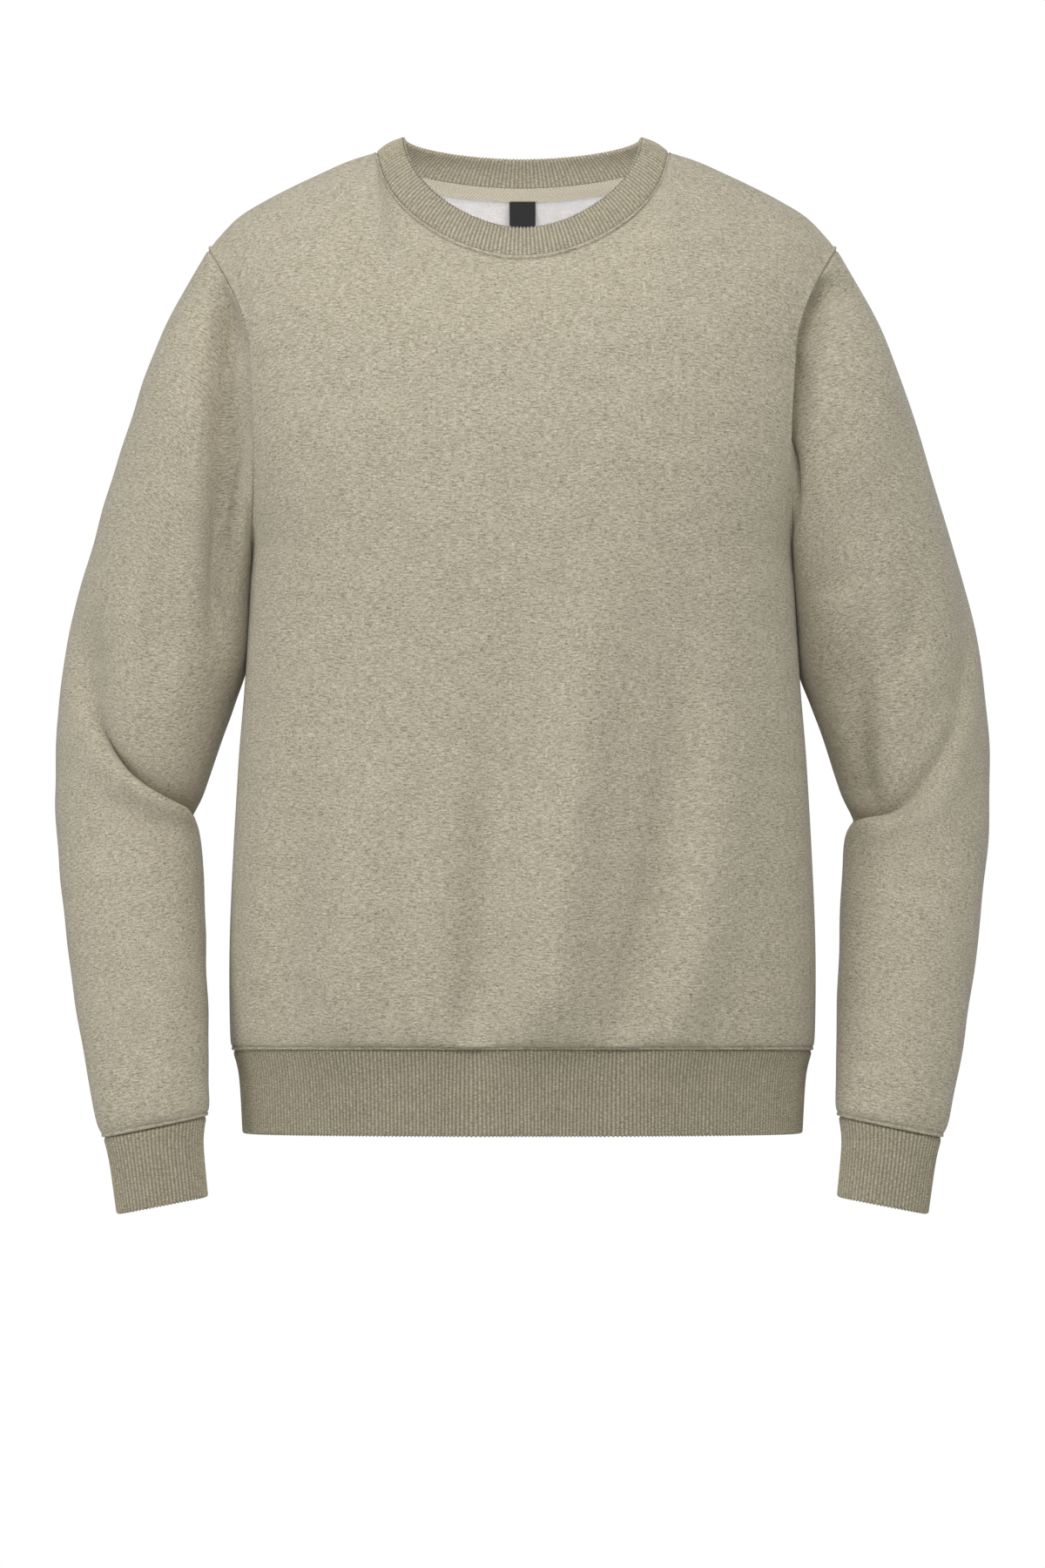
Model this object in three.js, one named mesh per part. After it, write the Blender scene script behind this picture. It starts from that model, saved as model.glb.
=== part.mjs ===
// A crewneck sweatshirt in brushed fleece, hollow, in the shape it keeps while it is worn.
// It is cut as a front, a back and two sleeves, with a folded rib neckband, waistband and
// cuffs, a tape over the back neck seam and a small bare label under that tape.
//
// Millimetres, +Z up. The wearer faces -Y, so the wearer's left sleeve is at +X.
// The origin lies midway between the two high shoulder points, where the shoulders carry it.
import * as THREE from "three";

// Cloth.
const FLEECE = 2; // thickness of the brushed fleece
const RIB_CLOTH = 3; // thickness of the rib knit, folded double
const TAPE_CLOTH = 1;
const LABEL_CLOTH = 1;
const SEAM_GAP = 0.3; // space left between two pieces at a seam
const SAME_PLACE = 0.13; // points of two edges this near to each other are one point of a seam
const RIB_HEIGHT = 0.8; // from the bottom of a rib's groove to its crest
const RIB_PITCH = 2.67; // from one rib to the next, on the waistband

// Neck and shoulders.
const NECK_HALF = 106.5; // from the centre line to a high shoulder point
const NECK_FRONT = { y: -72, z: -75.5 }; // neckline seam at the centre front
const NECK_BACK = { y: 62, z: -20 }; // neckline seam at the centre back
const NECK_ROUND = { seen: 1.14, deep: 0.75 }; // powers that shape the neckline from an ellipse
const SHOULDER_HALF = 229; // from the centre line to the top of the armhole
const NECK_SHARE = 0.5; // share of a panel's columns that end on the neckline
const SECTION_POWER = 0.87; // power that squares a section of the body from an ellipse

// Mesh of the front and back: columns across, and rows in three zones up the panel.
const PANEL_COLUMNS = 24;
const BODY_ROWS = 9; // from the waist seam to the underarm
const ARMHOLE_ROWS = 5; // from the underarm to the upper chest
const YOKE_ROWS = 4; // from the upper chest to the strip along the neck and shoulder
const EDGE_STRIP = 11; // width of the strip along the neck and shoulder seams, as wide as the tape
const SIDE_CALM = 0.2; // share of a panel beside its edges over which its folds fade
const UNDERARM = 6; // row of the section tables where the side seam ends

// The shoulder seam from the high shoulder point to the armhole, at equal steps outwards.
const SHOULDER_LINE = [
  { z: 2 },
  { z: -4.5 },
  { z: -13.6 },
  { z: -23.2 },
  { z: -33.8 },
  { z: -47 },
  { z: -69 },
];
// How long a lead the cloth has as it rolls over the shoulder, near the neck and at the armhole.
const SHOULDER_ROLL = { neck: 0.55, armhole: 0.85 };
const NECK_LEVELLING = 6; // power with which the cloth beside the neck levels off towards that roll

// Sections of the front, from the waist seam up. mid is the centre line and edge the side seam,
// or above the underarm the armhole. wrap is how far round the body the section turns, in degrees.
const FRONT_SECTIONS = [
  { midY: -113, midZ: -649, edgeX: 210.5, edgeY: 4, edgeZ: -652, wrap: 90 },
  { midY: -121, midZ: -635, edgeX: 213, edgeY: 4, edgeZ: -637, wrap: 90 },
  { midY: -123, midZ: -562, edgeX: 213, edgeY: 4, edgeZ: -562, wrap: 90 },
  { midY: -118, midZ: -452, edgeX: 207.5, edgeY: 5, edgeZ: -452, wrap: 90 },
  { midY: -118, midZ: -388, edgeX: 202.5, edgeY: 6, edgeZ: -388, wrap: 90 },
  { midY: -119, midZ: -340, edgeX: 199.5, edgeY: 6, edgeZ: -340, wrap: 90 },
  { midY: -120, midZ: -302, edgeX: 197.5, edgeY: 6, edgeZ: -302, wrap: 90 },
  { midY: -119, midZ: -248, edgeX: 195, edgeY: -34, edgeZ: -264, wrap: 76 },
  { midY: -115, midZ: -194, edgeX: 194.5, edgeY: -54, edgeZ: -207, wrap: 66 },
  { midY: -106, midZ: -144, edgeX: 198, edgeY: -50, edgeZ: -142, wrap: 60 },
];
const BACK_SECTIONS = [
  { midY: 109, midZ: -649, edgeX: 210.5, edgeY: 4, edgeZ: -652, wrap: 90 },
  { midY: 117, midZ: -635, edgeX: 213, edgeY: 4, edgeZ: -637, wrap: 90 },
  { midY: 117, midZ: -562, edgeX: 213, edgeY: 4, edgeZ: -562, wrap: 90 },
  { midY: 110, midZ: -452, edgeX: 207.5, edgeY: 5, edgeZ: -452, wrap: 90 },
  { midY: 110, midZ: -388, edgeX: 202.5, edgeY: 6, edgeZ: -388, wrap: 90 },
  { midY: 112, midZ: -340, edgeX: 199.5, edgeY: 6, edgeZ: -340, wrap: 90 },
  { midY: 114, midZ: -302, edgeX: 197.5, edgeY: 6, edgeZ: -302, wrap: 90 },
  { midY: 116, midZ: -244, edgeX: 197, edgeY: 44, edgeZ: -264, wrap: 76 },
  { midY: 114, midZ: -184, edgeX: 196.5, edgeY: 62, edgeZ: -207, wrap: 66 },
  { midY: 104, midZ: -124, edgeX: 201, edgeY: 56, edgeZ: -142, wrap: 60 },
];

// Sections of a sleeve below the armhole: its outer and inner edge seen from the front, the
// middle of its depth, and its depth from front to back. The last one is the cuff seam.
const SLEEVE_SECTIONS = [
  { outerX: 264, outerZ: -132, innerX: 200, innerZ: -322, midY: 12, depth: 126 },
  { outerX: 291, outerZ: -209, innerX: 199.5, innerZ: -347, midY: 20, depth: 132 },
  { outerX: 314.5, outerZ: -286, innerX: 201, innerZ: -374, midY: 27, depth: 132 },
  { outerX: 332, outerZ: -352, innerX: 210, innerZ: -400, midY: 30, depth: 128 },
  { outerX: 339.5, outerZ: -412, innerX: 220.5, innerZ: -430, midY: 30, depth: 122 },
  { outerX: 341, outerZ: -457, innerX: 231, innerZ: -464, midY: 27, depth: 117 },
  { outerX: 340.5, outerZ: -484, innerX: 237.5, innerZ: -486, midY: 22, depth: 113 },
  { outerX: 338, outerZ: -514, innerX: 233.5, innerZ: -512, midY: 15, depth: 110 },
  { outerX: 331, outerZ: -577, innerX: 230.5, innerZ: -572, midY: -2, depth: 103 },
  { outerX: 322, outerZ: -636, innerX: 228.5, innerZ: -628, midY: -18, depth: 94 },
  { outerX: 313, outerZ: -683, innerX: 227.5, innerZ: -669, midY: -30, depth: 82 },
  { outerX: 308.5, outerZ: -704, innerX: 227, innerZ: -690, midY: -35, depth: 74 },
  { outerX: 303.5, outerZ: -714, innerX: 229.5, innerZ: -698.5, midY: -37, depth: 60 },
];
// Rings of a sleeve's mesh between two of its sections, closer where the elbow creases.
const SLEEVE_ZONES = [
  { from: 0, to: 3, rings: 6 },
  { from: 3, to: 8, rings: 12 },
  { from: 8, to: 13, rings: 7 },
];
// Ring of a sleeve's mesh above the elbow's crease, where its upper and lower lengths meet.
const ELBOW_RING = 11;
const CUFF_SECTIONS = [
  { outerX: 299, outerZ: -732, innerX: 231.5, innerZ: -718, midY: -42, depth: 55 },
  { outerX: 293.5, outerZ: -768.5, innerX: 228, innerZ: -756, midY: -50, depth: 50 },
];

// Levels of the waistband below the waist seam, and how far each has drawn in.
const WAISTBAND_LEVELS = [
  { z: -671, inset: 4.5 },
  { z: -711.5, inset: 7 },
];
// The neckband's free edge, above and inside the neckline seam.
const NECKBAND_TOP = { half: 86, sideZ: 13, frontY: -59, frontZ: -54.5, backY: 50, backZ: 0 };
const NECKBAND_CROWN = 1.5; // how far the middle of the neckband swells out
const NECKBAND_RIBS = 184;
// Points on the outside of a rib band for each point on its plain inside.
const INSIDE_STEP = { waistband: 16, neckband: 6, cuff: 4 };

const LABEL = { width: 19, length: 42, lean: 0.12, forward: 1.5 };

// Folds of the body, seen from the front or the back: a line from its lower to its upper end,
// its half width, its height (below zero for a trough), and the share of its length over
// which it fades in at the bottom and out at the top.
const FRONT_FOLDS = [
  { x0: -185, z0: -655, x1: -187, z1: -460, width: 17, height: 2.5, rise: 0, fall: 0.6 },
  { x0: -170, z0: -655, x1: -155, z1: -430, width: 14, height: -3.5, rise: 0, fall: 0.6 },
  { x0: -72, z0: -655, x1: -101, z1: -400, width: 28, height: 4, rise: 0, fall: 0.7 },
  { x0: -33, z0: -655, x1: -6, z1: -360, width: 17, height: -6, rise: 0, fall: 0.8 },
  { x0: 16, z0: -655, x1: 57, z1: -290, width: 24, height: 6, rise: 0, fall: 0.8 },
  { x0: 67, z0: -655, x1: 124, z1: -400, width: 17, height: -9, rise: 0, fall: 0.7 },
  { x0: 109, z0: -655, x1: 165, z1: -440, width: 20, height: 6, rise: 0, fall: 0.7 },
  { x0: 134, z0: -655, x1: 149, z1: -590, width: 9, height: -3, rise: 0, fall: 0.8 },
];
const BACK_FOLDS = [
  { x0: 176, z0: -655, x1: 168, z1: -440, width: 16, height: -4, rise: 0, fall: 0.7 },
  { x0: 128, z0: -655, x1: 112, z1: -380, width: 22, height: 6, rise: 0, fall: 0.7 },
  { x0: 82, z0: -655, x1: 58, z1: -330, width: 17, height: -7, rise: 0, fall: 0.8 },
  { x0: 28, z0: -655, x1: 12, z1: -400, width: 22, height: 5, rise: 0, fall: 0.7 },
  { x0: -22, z0: -655, x1: -30, z1: -300, width: 19, height: -6, rise: 0, fall: 0.8 },
  { x0: -84, z0: -655, x1: -66, z1: -360, width: 24, height: 6, rise: 0, fall: 0.8 },
  { x0: -136, z0: -655, x1: -118, z1: -420, width: 16, height: -5, rise: 0, fall: 0.7 },
  { x0: 150, z0: -330, x1: 178, z1: -190, width: 15, height: -5, rise: 0.5, fall: 0.5 },
  { x0: -146, z0: -340, x1: -176, z1: -200, width: 15, height: -5, rise: 0.5, fall: 0.5 },
];
// Folds of the sleeves, for each side and for the half that faces the front (1) or the back (-1).
// bend bows the line towards the cuff, and a fold with a riser steps up across it, from the
// upper arm to the forearm.
const SLEEVE_FOLDS = [
  {
    side: -1,
    face: 1,
    folds: [
      { x0: -205, z0: -345, x1: -216, z1: -100, bend: -4, width: 12, height: -9, rise: 0.4, fall: 0.4 },
      { x0: -262, z0: -375, x1: -268, z1: -300, bend: 0, width: 9, height: -3, rise: 0.5, fall: 0.5 },
      { x0: -232, z0: -492, x1: -320, z1: -340, bend: -25, width: 26, height: 8, riser: 13, rise: 0.1, fall: 0.45 },
    ],
  },
  {
    side: 1,
    face: 1,
    folds: [
      { x0: 211, z0: -385, x1: 207, z1: -86, bend: 2, width: 10, height: -12, rise: 0.3, fall: 0.3 },
      { x0: 222, z0: -330, x1: 280, z1: -326, bend: 0, width: 13, height: -3, rise: 0.5, fall: 0.5 },
      { x0: 246, z0: -470, x1: 270, z1: -345, bend: -6, width: 17, height: -4, rise: 0.4, fall: 0.5 },
      { x0: 229, z0: -494, x1: 323, z1: -356, bend: 27, width: 30, height: 7, riser: 15, rise: 0.1, fall: 0.4 },
    ],
  },
  {
    side: -1,
    face: -1,
    folds: [
      { x0: -232, z0: -470, x1: -300, z1: -430, bend: 8, width: 14, height: -5, rise: 0.2, fall: 0.6 },
      { x0: -208, z0: -350, x1: -222, z1: -150, bend: 0, width: 13, height: -7, rise: 0.4, fall: 0.4 },
      { x0: -236, z0: -520, x1: -292, z1: -560, bend: 0, width: 15, height: -4, rise: 0.2, fall: 0.6 },
    ],
  },
  {
    side: 1,
    face: -1,
    folds: [
      { x0: 233, z0: -476, x1: 296, z1: -424, bend: -8, width: 14, height: -5, rise: 0.2, fall: 0.6 },
      { x0: 208, z0: -350, x1: 224, z1: -160, bend: 0, width: 13, height: -7, rise: 0.4, fall: 0.4 },
      { x0: 236, z0: -514, x1: 288, z1: -566, bend: 0, width: 15, height: -4, rise: 0.2, fall: 0.6 },
    ],
  },
];

const COLOURS = { fleece: 0xb1a994, rib: 0xa39b84, tape: 0xc4bdac, label: 0x2b2b2c };

const vec = (x, y, z) => new THREE.Vector3(x, y, z);
const mix = (a, b, t) => a + (b - a) * t;
const power = (value, exponent) => Math.sign(value) * Math.abs(value) ** exponent;
const steps = (count) => Array.from({ length: count + 1 }, (_, i) => i / count);
const ease = (t) => {
  const inside = THREE.MathUtils.clamp(t, 0, 1);
  return inside * inside * (3 - 2 * inside);
};

// Cubic curve from a to b with the slopes given at its ends.
function hermite(a, slopeA, b, slopeB, t) {
  const t2 = t * t;
  const t3 = t2 * t;
  return (
    a * (2 * t3 - 3 * t2 + 1) +
    slopeA * (t3 - 2 * t2 + t) +
    b * (3 * t2 - 2 * t3) +
    slopeB * (t3 - t2)
  );
}

// Value of a table's column at a level between its rows, on one smooth curve. The edge turns a
// corner at the underarm, where the side seam ends and the armhole starts.
function column(table, key, level) {
  const last = table.length - 1;
  const row = Math.min(Math.floor(level), last - 1);
  const corner = key.startsWith("edge") ? UNDERARM : -1;
  const slope = (i, near) => {
    if (i === 0 || i === last || i === corner) return table[near + 1][key] - table[near][key];
    return (table[i + 1][key] - table[i - 1][key]) / 2;
  };
  return hermite(table[row][key], slope(row, row), table[row + 1][key], slope(row + 1, row), level - row);
}

// Height of a fold line's effect at a point seen square on. side is 1 where a riser steps up
// towards the wearer's left, and -1 where it steps up the other way.
function foldHeight(fold, side, x, z) {
  const runX = fold.x1 - fold.x0;
  const runZ = fold.z1 - fold.z0;
  const length = Math.hypot(runX, runZ);
  const along = ((x - fold.x0) * runX + (z - fold.z0) * runZ) / length ** 2;
  const bow = (fold.bend ?? 0) * 4 * Math.max(0, along * (1 - along));
  const across = ((x - fold.x0) * runZ - (z - fold.z0) * runX) / length - bow;
  const fadeIn = fold.rise ? ease(along / fold.rise) : 1;
  const fadeOut = fold.fall ? ease((1 - along) / fold.fall) : 1;
  const spread = Math.exp(-((across / fold.width) ** 2));
  const shape = fold.riser ? side * Math.tanh(across / fold.riser) : 1;
  return fold.height * fadeIn * fadeOut * spread * shape;
}

// A point on a closed neck line: turn is 0 at the centre front, 90 degrees at the side.
function neckPoint(turn, half, sideZ, front, back) {
  const centre = Math.cos(turn) > 0 ? front : back;
  const share = Math.abs(Math.cos(turn));
  return vec(
    half * power(Math.sin(turn), NECK_ROUND.seen),
    centre.y * share ** NECK_ROUND.deep,
    mix(sideZ, centre.z, share ** NECK_ROUND.seen),
  );
}

// Top boundary of a panel: the shoulder seam outside, the neckline between.
function topPoint(across, facing) {
  const reach = Math.abs(across);
  if (reach < NECK_SHARE) {
    const turn = (across / NECK_SHARE) * (Math.PI / 2);
    const sideZ = SHOULDER_LINE[0].z;
    return neckPoint(facing > 0 ? turn : Math.PI - turn, NECK_HALF, sideZ, NECK_FRONT, NECK_BACK);
  }
  const share = (reach - NECK_SHARE) / (1 - NECK_SHARE);
  const z = column(SHOULDER_LINE, "z", share * (SHOULDER_LINE.length - 1));
  return vec(Math.sign(across) * mix(NECK_HALF, SHOULDER_HALF, share), 0, z);
}

// A point of a section: across runs from -1 to 1, from one edge of the panel to the other.
function sectionPoint(sections, level, across) {
  const wrap = THREE.MathUtils.degToRad(column(sections, "wrap", level));
  const turn = across * wrap;
  const depth = Math.max(0, (Math.cos(turn) - Math.cos(wrap)) / (1 - Math.cos(wrap)));
  const midY = column(sections, "midY", level);
  const midZ = column(sections, "midZ", level);
  return vec(
    column(sections, "edgeX", level) * power(Math.sin(turn) / Math.sin(wrap), SECTION_POWER),
    mix(column(sections, "edgeY", level), midY, depth ** SECTION_POWER),
    mix(midZ, column(sections, "edgeZ", level), across ** 2),
  );
}

// A point of the yoke, between the uppermost section and the neck and shoulder seams. The cloth
// rises off the chest and rolls level as it reaches the shoulder seam.
function yokePoint(sections, facing, across, share) {
  const last = sections.length - 1;
  const low = sectionPoint(sections, last, across);
  const rising = low.clone().sub(sectionPoint(sections, last - 0.05, across)).normalize();
  const top = topPoint(across, facing);
  const length = top.distanceTo(low);
  const level = Math.min(1, Math.abs(across) / NECK_SHARE) ** NECK_LEVELLING;
  const outwards = Math.max(0, (Math.abs(across) - NECK_SHARE) / (1 - NECK_SHARE));
  const lead = mix(SHOULDER_ROLL.neck, SHOULDER_ROLL.armhole, outwards);
  const rolling = vec(0, facing * mix(0.5, 1, level), mix(0.85, 0, level)).normalize();
  rolling.multiplyScalar(mix(1, lead, level));
  const strip = (length - EDGE_STRIP) / length;
  const t = share <= 1 ? share * strip : 1;
  const at = (axis) =>
    hermite(low[axis], rising[axis] * length, top[axis], rolling[axis] * length, t);
  return vec(at("x"), at("y"), at("z"));
}

// Rows of a panel's points, from the waist seam up. facing is 1 for the front and -1 for the back.
function panelRows(sections, facing) {
  const columns = steps(PANEL_COLUMNS).map((share) => facing * (2 * share - 1));
  const last = sections.length - 1;
  const levels = [
    ...steps(BODY_ROWS).map((share) => share * UNDERARM),
    ...steps(ARMHOLE_ROWS).slice(1).map((share) => mix(UNDERARM, last, share)),
  ];
  const body = levels.map((level) => columns.map((across) => sectionPoint(sections, level, across)));
  const yoke = [...steps(YOKE_ROWS).slice(1), 2].map((share) =>
    columns.map((across) => yokePoint(sections, facing, across, share)),
  );
  return [...body, ...yoke];
}

// A ring of a sleeve or cuff, starting at its outer edge and going round by the front.
function armRing(section, side, columns) {
  return steps(columns).slice(0, columns).map((share) => {
    const turn = share * 2 * Math.PI;
    const half = (1 + Math.cos(turn)) / 2;
    return vec(
      side * mix(section.innerX, section.outerX, half),
      section.midY - (Math.sin(turn) * section.depth) / 2,
      mix(section.innerZ, section.outerZ, half),
    );
  });
}

// The armhole as a ring of the same order: down the front panel's edge and up the back's.
function armholeRing(front, back, side) {
  const rowsBelow = BODY_ROWS;
  const edge = (rows, atEnd) => rows.slice(rowsBelow).map((row) => row[atEnd ? row.length - 1 : 0].clone());
  const down = edge(front, side > 0).reverse();
  const up = edge(back, side < 0);
  return [...down, ...up.slice(1, -1)];
}

// Smooth rows through a list of rings, at levels counted in rings.
function throughRings(rings, levels) {
  const last = rings.length - 1;
  return levels.map((level) => {
    const i = Math.min(Math.floor(level), last - 1);
    const [a, b, c, d] = [Math.max(i - 1, 0), i, i + 1, Math.min(i + 2, last)].map((k) => rings[k]);
    return b.map((point, k) => {
      const at = (axis) =>
        hermite(
          point[axis],
          (c[k][axis] - a[k][axis]) / 2,
          c[k][axis],
          (d[k][axis] - point[axis]) / 2,
          level - i,
        );
      return vec(at("x"), at("y"), at("z"));
    });
  });
}

function zoneLevels(zones) {
  const inner = zones.flatMap((zone) =>
    steps(zone.rings).slice(0, zone.rings).map((share) => mix(zone.from, zone.to, share)),
  );
  return [...inner, zones[zones.length - 1].to];
}

// Outward normals of a grid of points, from the points beside each one.
function normalsOf(rows, closed) {
  return rows.map((row, r) =>
    row.map((_, c) => {
      const count = row.length;
      const right = closed ? row[(c + 1) % count] : row[Math.min(c + 1, count - 1)];
      const left = closed ? row[(c + count - 1) % count] : row[Math.max(c - 1, 0)];
      const above = rows[Math.min(r + 1, rows.length - 1)][c];
      const below = rows[Math.max(r - 1, 0)][c];
      return right.clone().sub(left).cross(above.clone().sub(below)).normalize();
    }),
  );
}

// Moves each point of a sheet out along its normal by the height that relief gives there.
function raised(rows, closed, relief) {
  const normals = normalsOf(rows, closed);
  return rows.map((row, r) =>
    row.map((point, c) => point.clone().addScaledVector(normals[r][c], relief(point, r, c))),
  );
}

// A sheet of cloth before it has a thickness: named rows of points, closed round or not.
function sheet(name, rows, closed, thickness) {
  return { name, rows, closed, thickness, normals: normalsOf(rows, closed) };
}

const isEdge = (piece, r, c) =>
  r === 0 ||
  r === piece.rows.length - 1 ||
  (!piece.closed && (c === 0 || c === piece.rows[0].length - 1));

const isCorner = (piece, r, c) =>
  !piece.closed &&
  (r === 0 || r === piece.rows.length - 1) &&
  (c === 0 || c === piece.rows[0].length - 1);

// Pieces that meet at a seam share one normal there, and each is cut back by half the gap.
function openSeams(pieces) {
  const key = (point) => point.toArray().map((v) => Math.round(v / SAME_PLACE)).join();
  const shared = new Map();
  const eachEdge = (piece, use) =>
    piece.rows.forEach((row, r) =>
      row.forEach((point, c) => isEdge(piece, r, c) && use(point, r, c)),
    );
  pieces.forEach((piece) =>
    eachEdge(piece, (point, r, c) => {
      const found = shared.get(key(point)) ?? { sum: vec(0, 0, 0), count: 0 };
      found.sum.addScaledVector(piece.normals[r][c], isCorner(piece, r, c) ? 0.5 : 1);
      found.count += 1;
      shared.set(key(point), found);
    }),
  );
  pieces.forEach((piece) => {
    const before = piece.rows.map((row) => row.map((point) => point.clone()));
    eachEdge(piece, (point, r, c) => {
      const { sum, count } = shared.get(key(before[r][c]));
      if (count < 2) return;
      const normal = sum.clone().normalize();
      const lastRow = before.length - 1;
      const lastColumn = before[0].length - 1;
      const inRow = r === 0 ? 1 : r === lastRow ? lastRow - 1 : r;
      const inColumn = piece.closed ? c : c === 0 ? 1 : c === lastColumn ? lastColumn - 1 : c;
      const inwards = before[inRow][c].clone().sub(point).normalize();
      inwards.add(before[r][inColumn].clone().sub(point).normalize());
      inwards.addScaledVector(normal, -inwards.dot(normal)).normalize();
      point.addScaledVector(inwards, SEAM_GAP / 2);
      piece.normals[r][c] = normal;
    });
  });
}

// A closed solid from an outer and an inner grid, whose rows may have different counts of points.
function wall(outer, inner, closed) {
  const points = [];
  const faces = [];
  const number = (rows) =>
    rows.map((row) => {
      const from = points.length;
      points.push(...row);
      const ids = row.map((_, i) => from + i);
      return closed ? [...ids, from] : ids;
    });
  const outerIds = number(outer);
  const innerIds = number(inner);
  const apart = (a, b) => points[a].distanceTo(points[b]);
  const add = (face, flip) => faces.push(...(flip ? [face[1], face[0], face[2]] : face));
  // Splits each four-sided cell along its shorter diagonal.
  const grid = (ids, flip) => {
    for (let r = 0; r + 1 < ids.length; r++) {
      for (let c = 0; c + 1 < ids[r].length; c++) {
        const [a, b, d, e] = [ids[r][c], ids[r][c + 1], ids[r + 1][c + 1], ids[r + 1][c]];
        const halves = apart(a, d) <= apart(b, e) ? [[a, b, d], [a, d, e]] : [[a, b, e], [b, d, e]];
        halves.forEach((half) => add(half, flip));
      }
    }
  };
  // Joins an outer and an inner line, taking next whichever point makes the shorter new side.
  const rim = (out, into, flip) => {
    let i = 0;
    let j = 0;
    const side = (a, b) => apart(out[a], into[b]);
    while (i + 1 < out.length || j + 1 < into.length) {
      const outer =
        j + 1 === into.length || (i + 1 < out.length && side(i + 1, j) <= side(i, j + 1));
      const face = outer
        ? [out[i + 1], out[i], into[j]]
        : [into[j], into[j + 1], out[i]];
      add(face, flip);
      i += outer ? 1 : 0;
      j += outer ? 0 : 1;
    }
  };
  grid(outerIds, false);
  grid(innerIds, true);
  rim(outerIds[0], innerIds[0], false);
  rim(outerIds.at(-1), innerIds.at(-1), true);
  if (!closed) {
    rim(outerIds.map((row) => row[0]), innerIds.map((row) => row[0]), true);
    rim(outerIds.map((row) => row.at(-1)), innerIds.map((row) => row.at(-1)), false);
  }
  const geometry = new THREE.BufferGeometry();
  geometry.setAttribute(
    "position",
    new THREE.Float32BufferAttribute(points.flatMap((point) => point.toArray()), 3),
  );
  geometry.setIndex(faces);
  geometry.computeVertexNormals();
  return geometry;
}

const pushedIn = (rows, normals, depth) =>
  rows.map((row, r) =>
    row.map((point, c) => point.clone().addScaledVector(normals[r][c], -depth)),
  );

function plainWall(piece) {
  return wall(piece.rows, pushedIn(piece.rows, piece.normals, piece.thickness), piece.closed);
}

// A band of rib knit: crests and grooves in its outer points, over a plain inside. The ribs are
// spaced evenly round the band's first row.
function ribbedWall(piece, ribs, insideStep) {
  const seam = piece.rows[0];
  const count = seam.length;
  const lengths = seam.map((point, c) => point.distanceTo(seam[(c + 1) % count]));
  const whole = lengths.reduce((sum, length) => sum + length, 0);
  const places = [];
  let segment = 0;
  let passed = 0;
  for (let k = 0; k < 2 * ribs; k++) {
    const reach = (k * whole) / (2 * ribs);
    while (reach >= passed + lengths[segment]) passed += lengths[segment++];
    places.push({ segment, share: (reach - passed) / lengths[segment], crest: k % 2 === 0 });
  }
  const inside = places.filter((_, k) => k % insideStep === 0);
  const line = (row, normals, some, height) =>
    some.map((place) => {
      const { segment: c, share } = place;
      const next = (c + 1) % count;
      const normal = normals[c].clone().lerp(normals[next], share).normalize();
      return row[c].clone().lerp(row[next], share).addScaledVector(normal, height(place));
    });
  const rib = (place) => (place.crest ? 0.5 : -0.5) * RIB_HEIGHT;
  const depth = () => -piece.thickness;
  return wall(
    piece.rows.map((row, r) => line(row, piece.normals[r], places, rib)),
    piece.rows.map((row, r) => line(row, piece.normals[r], inside, depth)),
    true,
  );
}

function piece(name, geometry, colour) {
  const material = new THREE.MeshStandardMaterial({ color: colour, roughness: 0.95, metalness: 0 });
  const mesh = new THREE.Mesh(geometry, material);
  mesh.name = name;
  return mesh;
}

// The body: front and back, with the folds that the waistband gathers.
function bodyPanels() {
  const relief = (folds) => (point, r, c) => {
    const towardsSide = ease((1 - Math.abs((2 * c) / PANEL_COLUMNS - 1)) / SIDE_CALM);
    const height = folds.reduce((sum, fold) => sum + foldHeight(fold, 1, point.x, point.z), 0);
    return towardsSide * height * mix(0.35, 1, ease((point.z + 655) / 14));
  };
  return {
    front: raised(panelRows(FRONT_SECTIONS, 1), false, relief(FRONT_FOLDS)),
    back: raised(panelRows(BACK_SECTIONS, -1), false, relief(BACK_FOLDS)),
  };
}

// A sleeve from the armhole to the cuff seam, and its cuff. side is 1 for the wearer's left.
function sleeveAndCuff(front, back, side) {
  const armhole = armholeRing(front, back, side);
  const columns = armhole.length;
  const rings = [armhole, ...SLEEVE_SECTIONS.map((section) => armRing(section, side, columns))];
  const levels = zoneLevels(SLEEVE_ZONES);
  const smooth = throughRings(rings, levels);
  const halves = SLEEVE_FOLDS.filter((half) => half.side === side);
  const relief = (point, r, c) => {
    const facing = Math.sin((c / columns) * 2 * Math.PI);
    const ends = ease(levels[r] / 1.2) * ease((rings.length - 1 - levels[r]) / 2);
    const height = halves
      .filter((half) => half.face * facing > 0)
      .flatMap((half) => half.folds)
      .reduce((sum, fold) => sum + foldHeight(fold, side, point.x, point.z), 0);
    return ends * ease(Math.abs(facing) / 0.45) * height;
  };
  const inOrder = (rows) => (side > 0 ? rows : rows.map((row) => [row[0], ...row.slice(1).reverse()]));
  // A mirrored tube is folded on its own normals, so that a ridge stands out on both sides.
  const sleeve = inOrder(raisedEitherWay(smooth, side, relief));
  const copied = (rows) => rows.map((row) => row.map((point) => point.clone()));
  const cuff = copied(sleeve.slice(-1));
  CUFF_SECTIONS.forEach((section) => cuff.push(...inOrder([armRing(section, side, columns)])));
  return { upper: copied(sleeve.slice(0, ELBOW_RING + 1)), lower: sleeve.slice(ELBOW_RING), cuff };
}

// Like raised, for a tube whose points run the other way round on the wearer's right.
function raisedEitherWay(rows, side, relief) {
  return raised(rows, true, (point, r, c) => side * relief(point, r, c));
}

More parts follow.
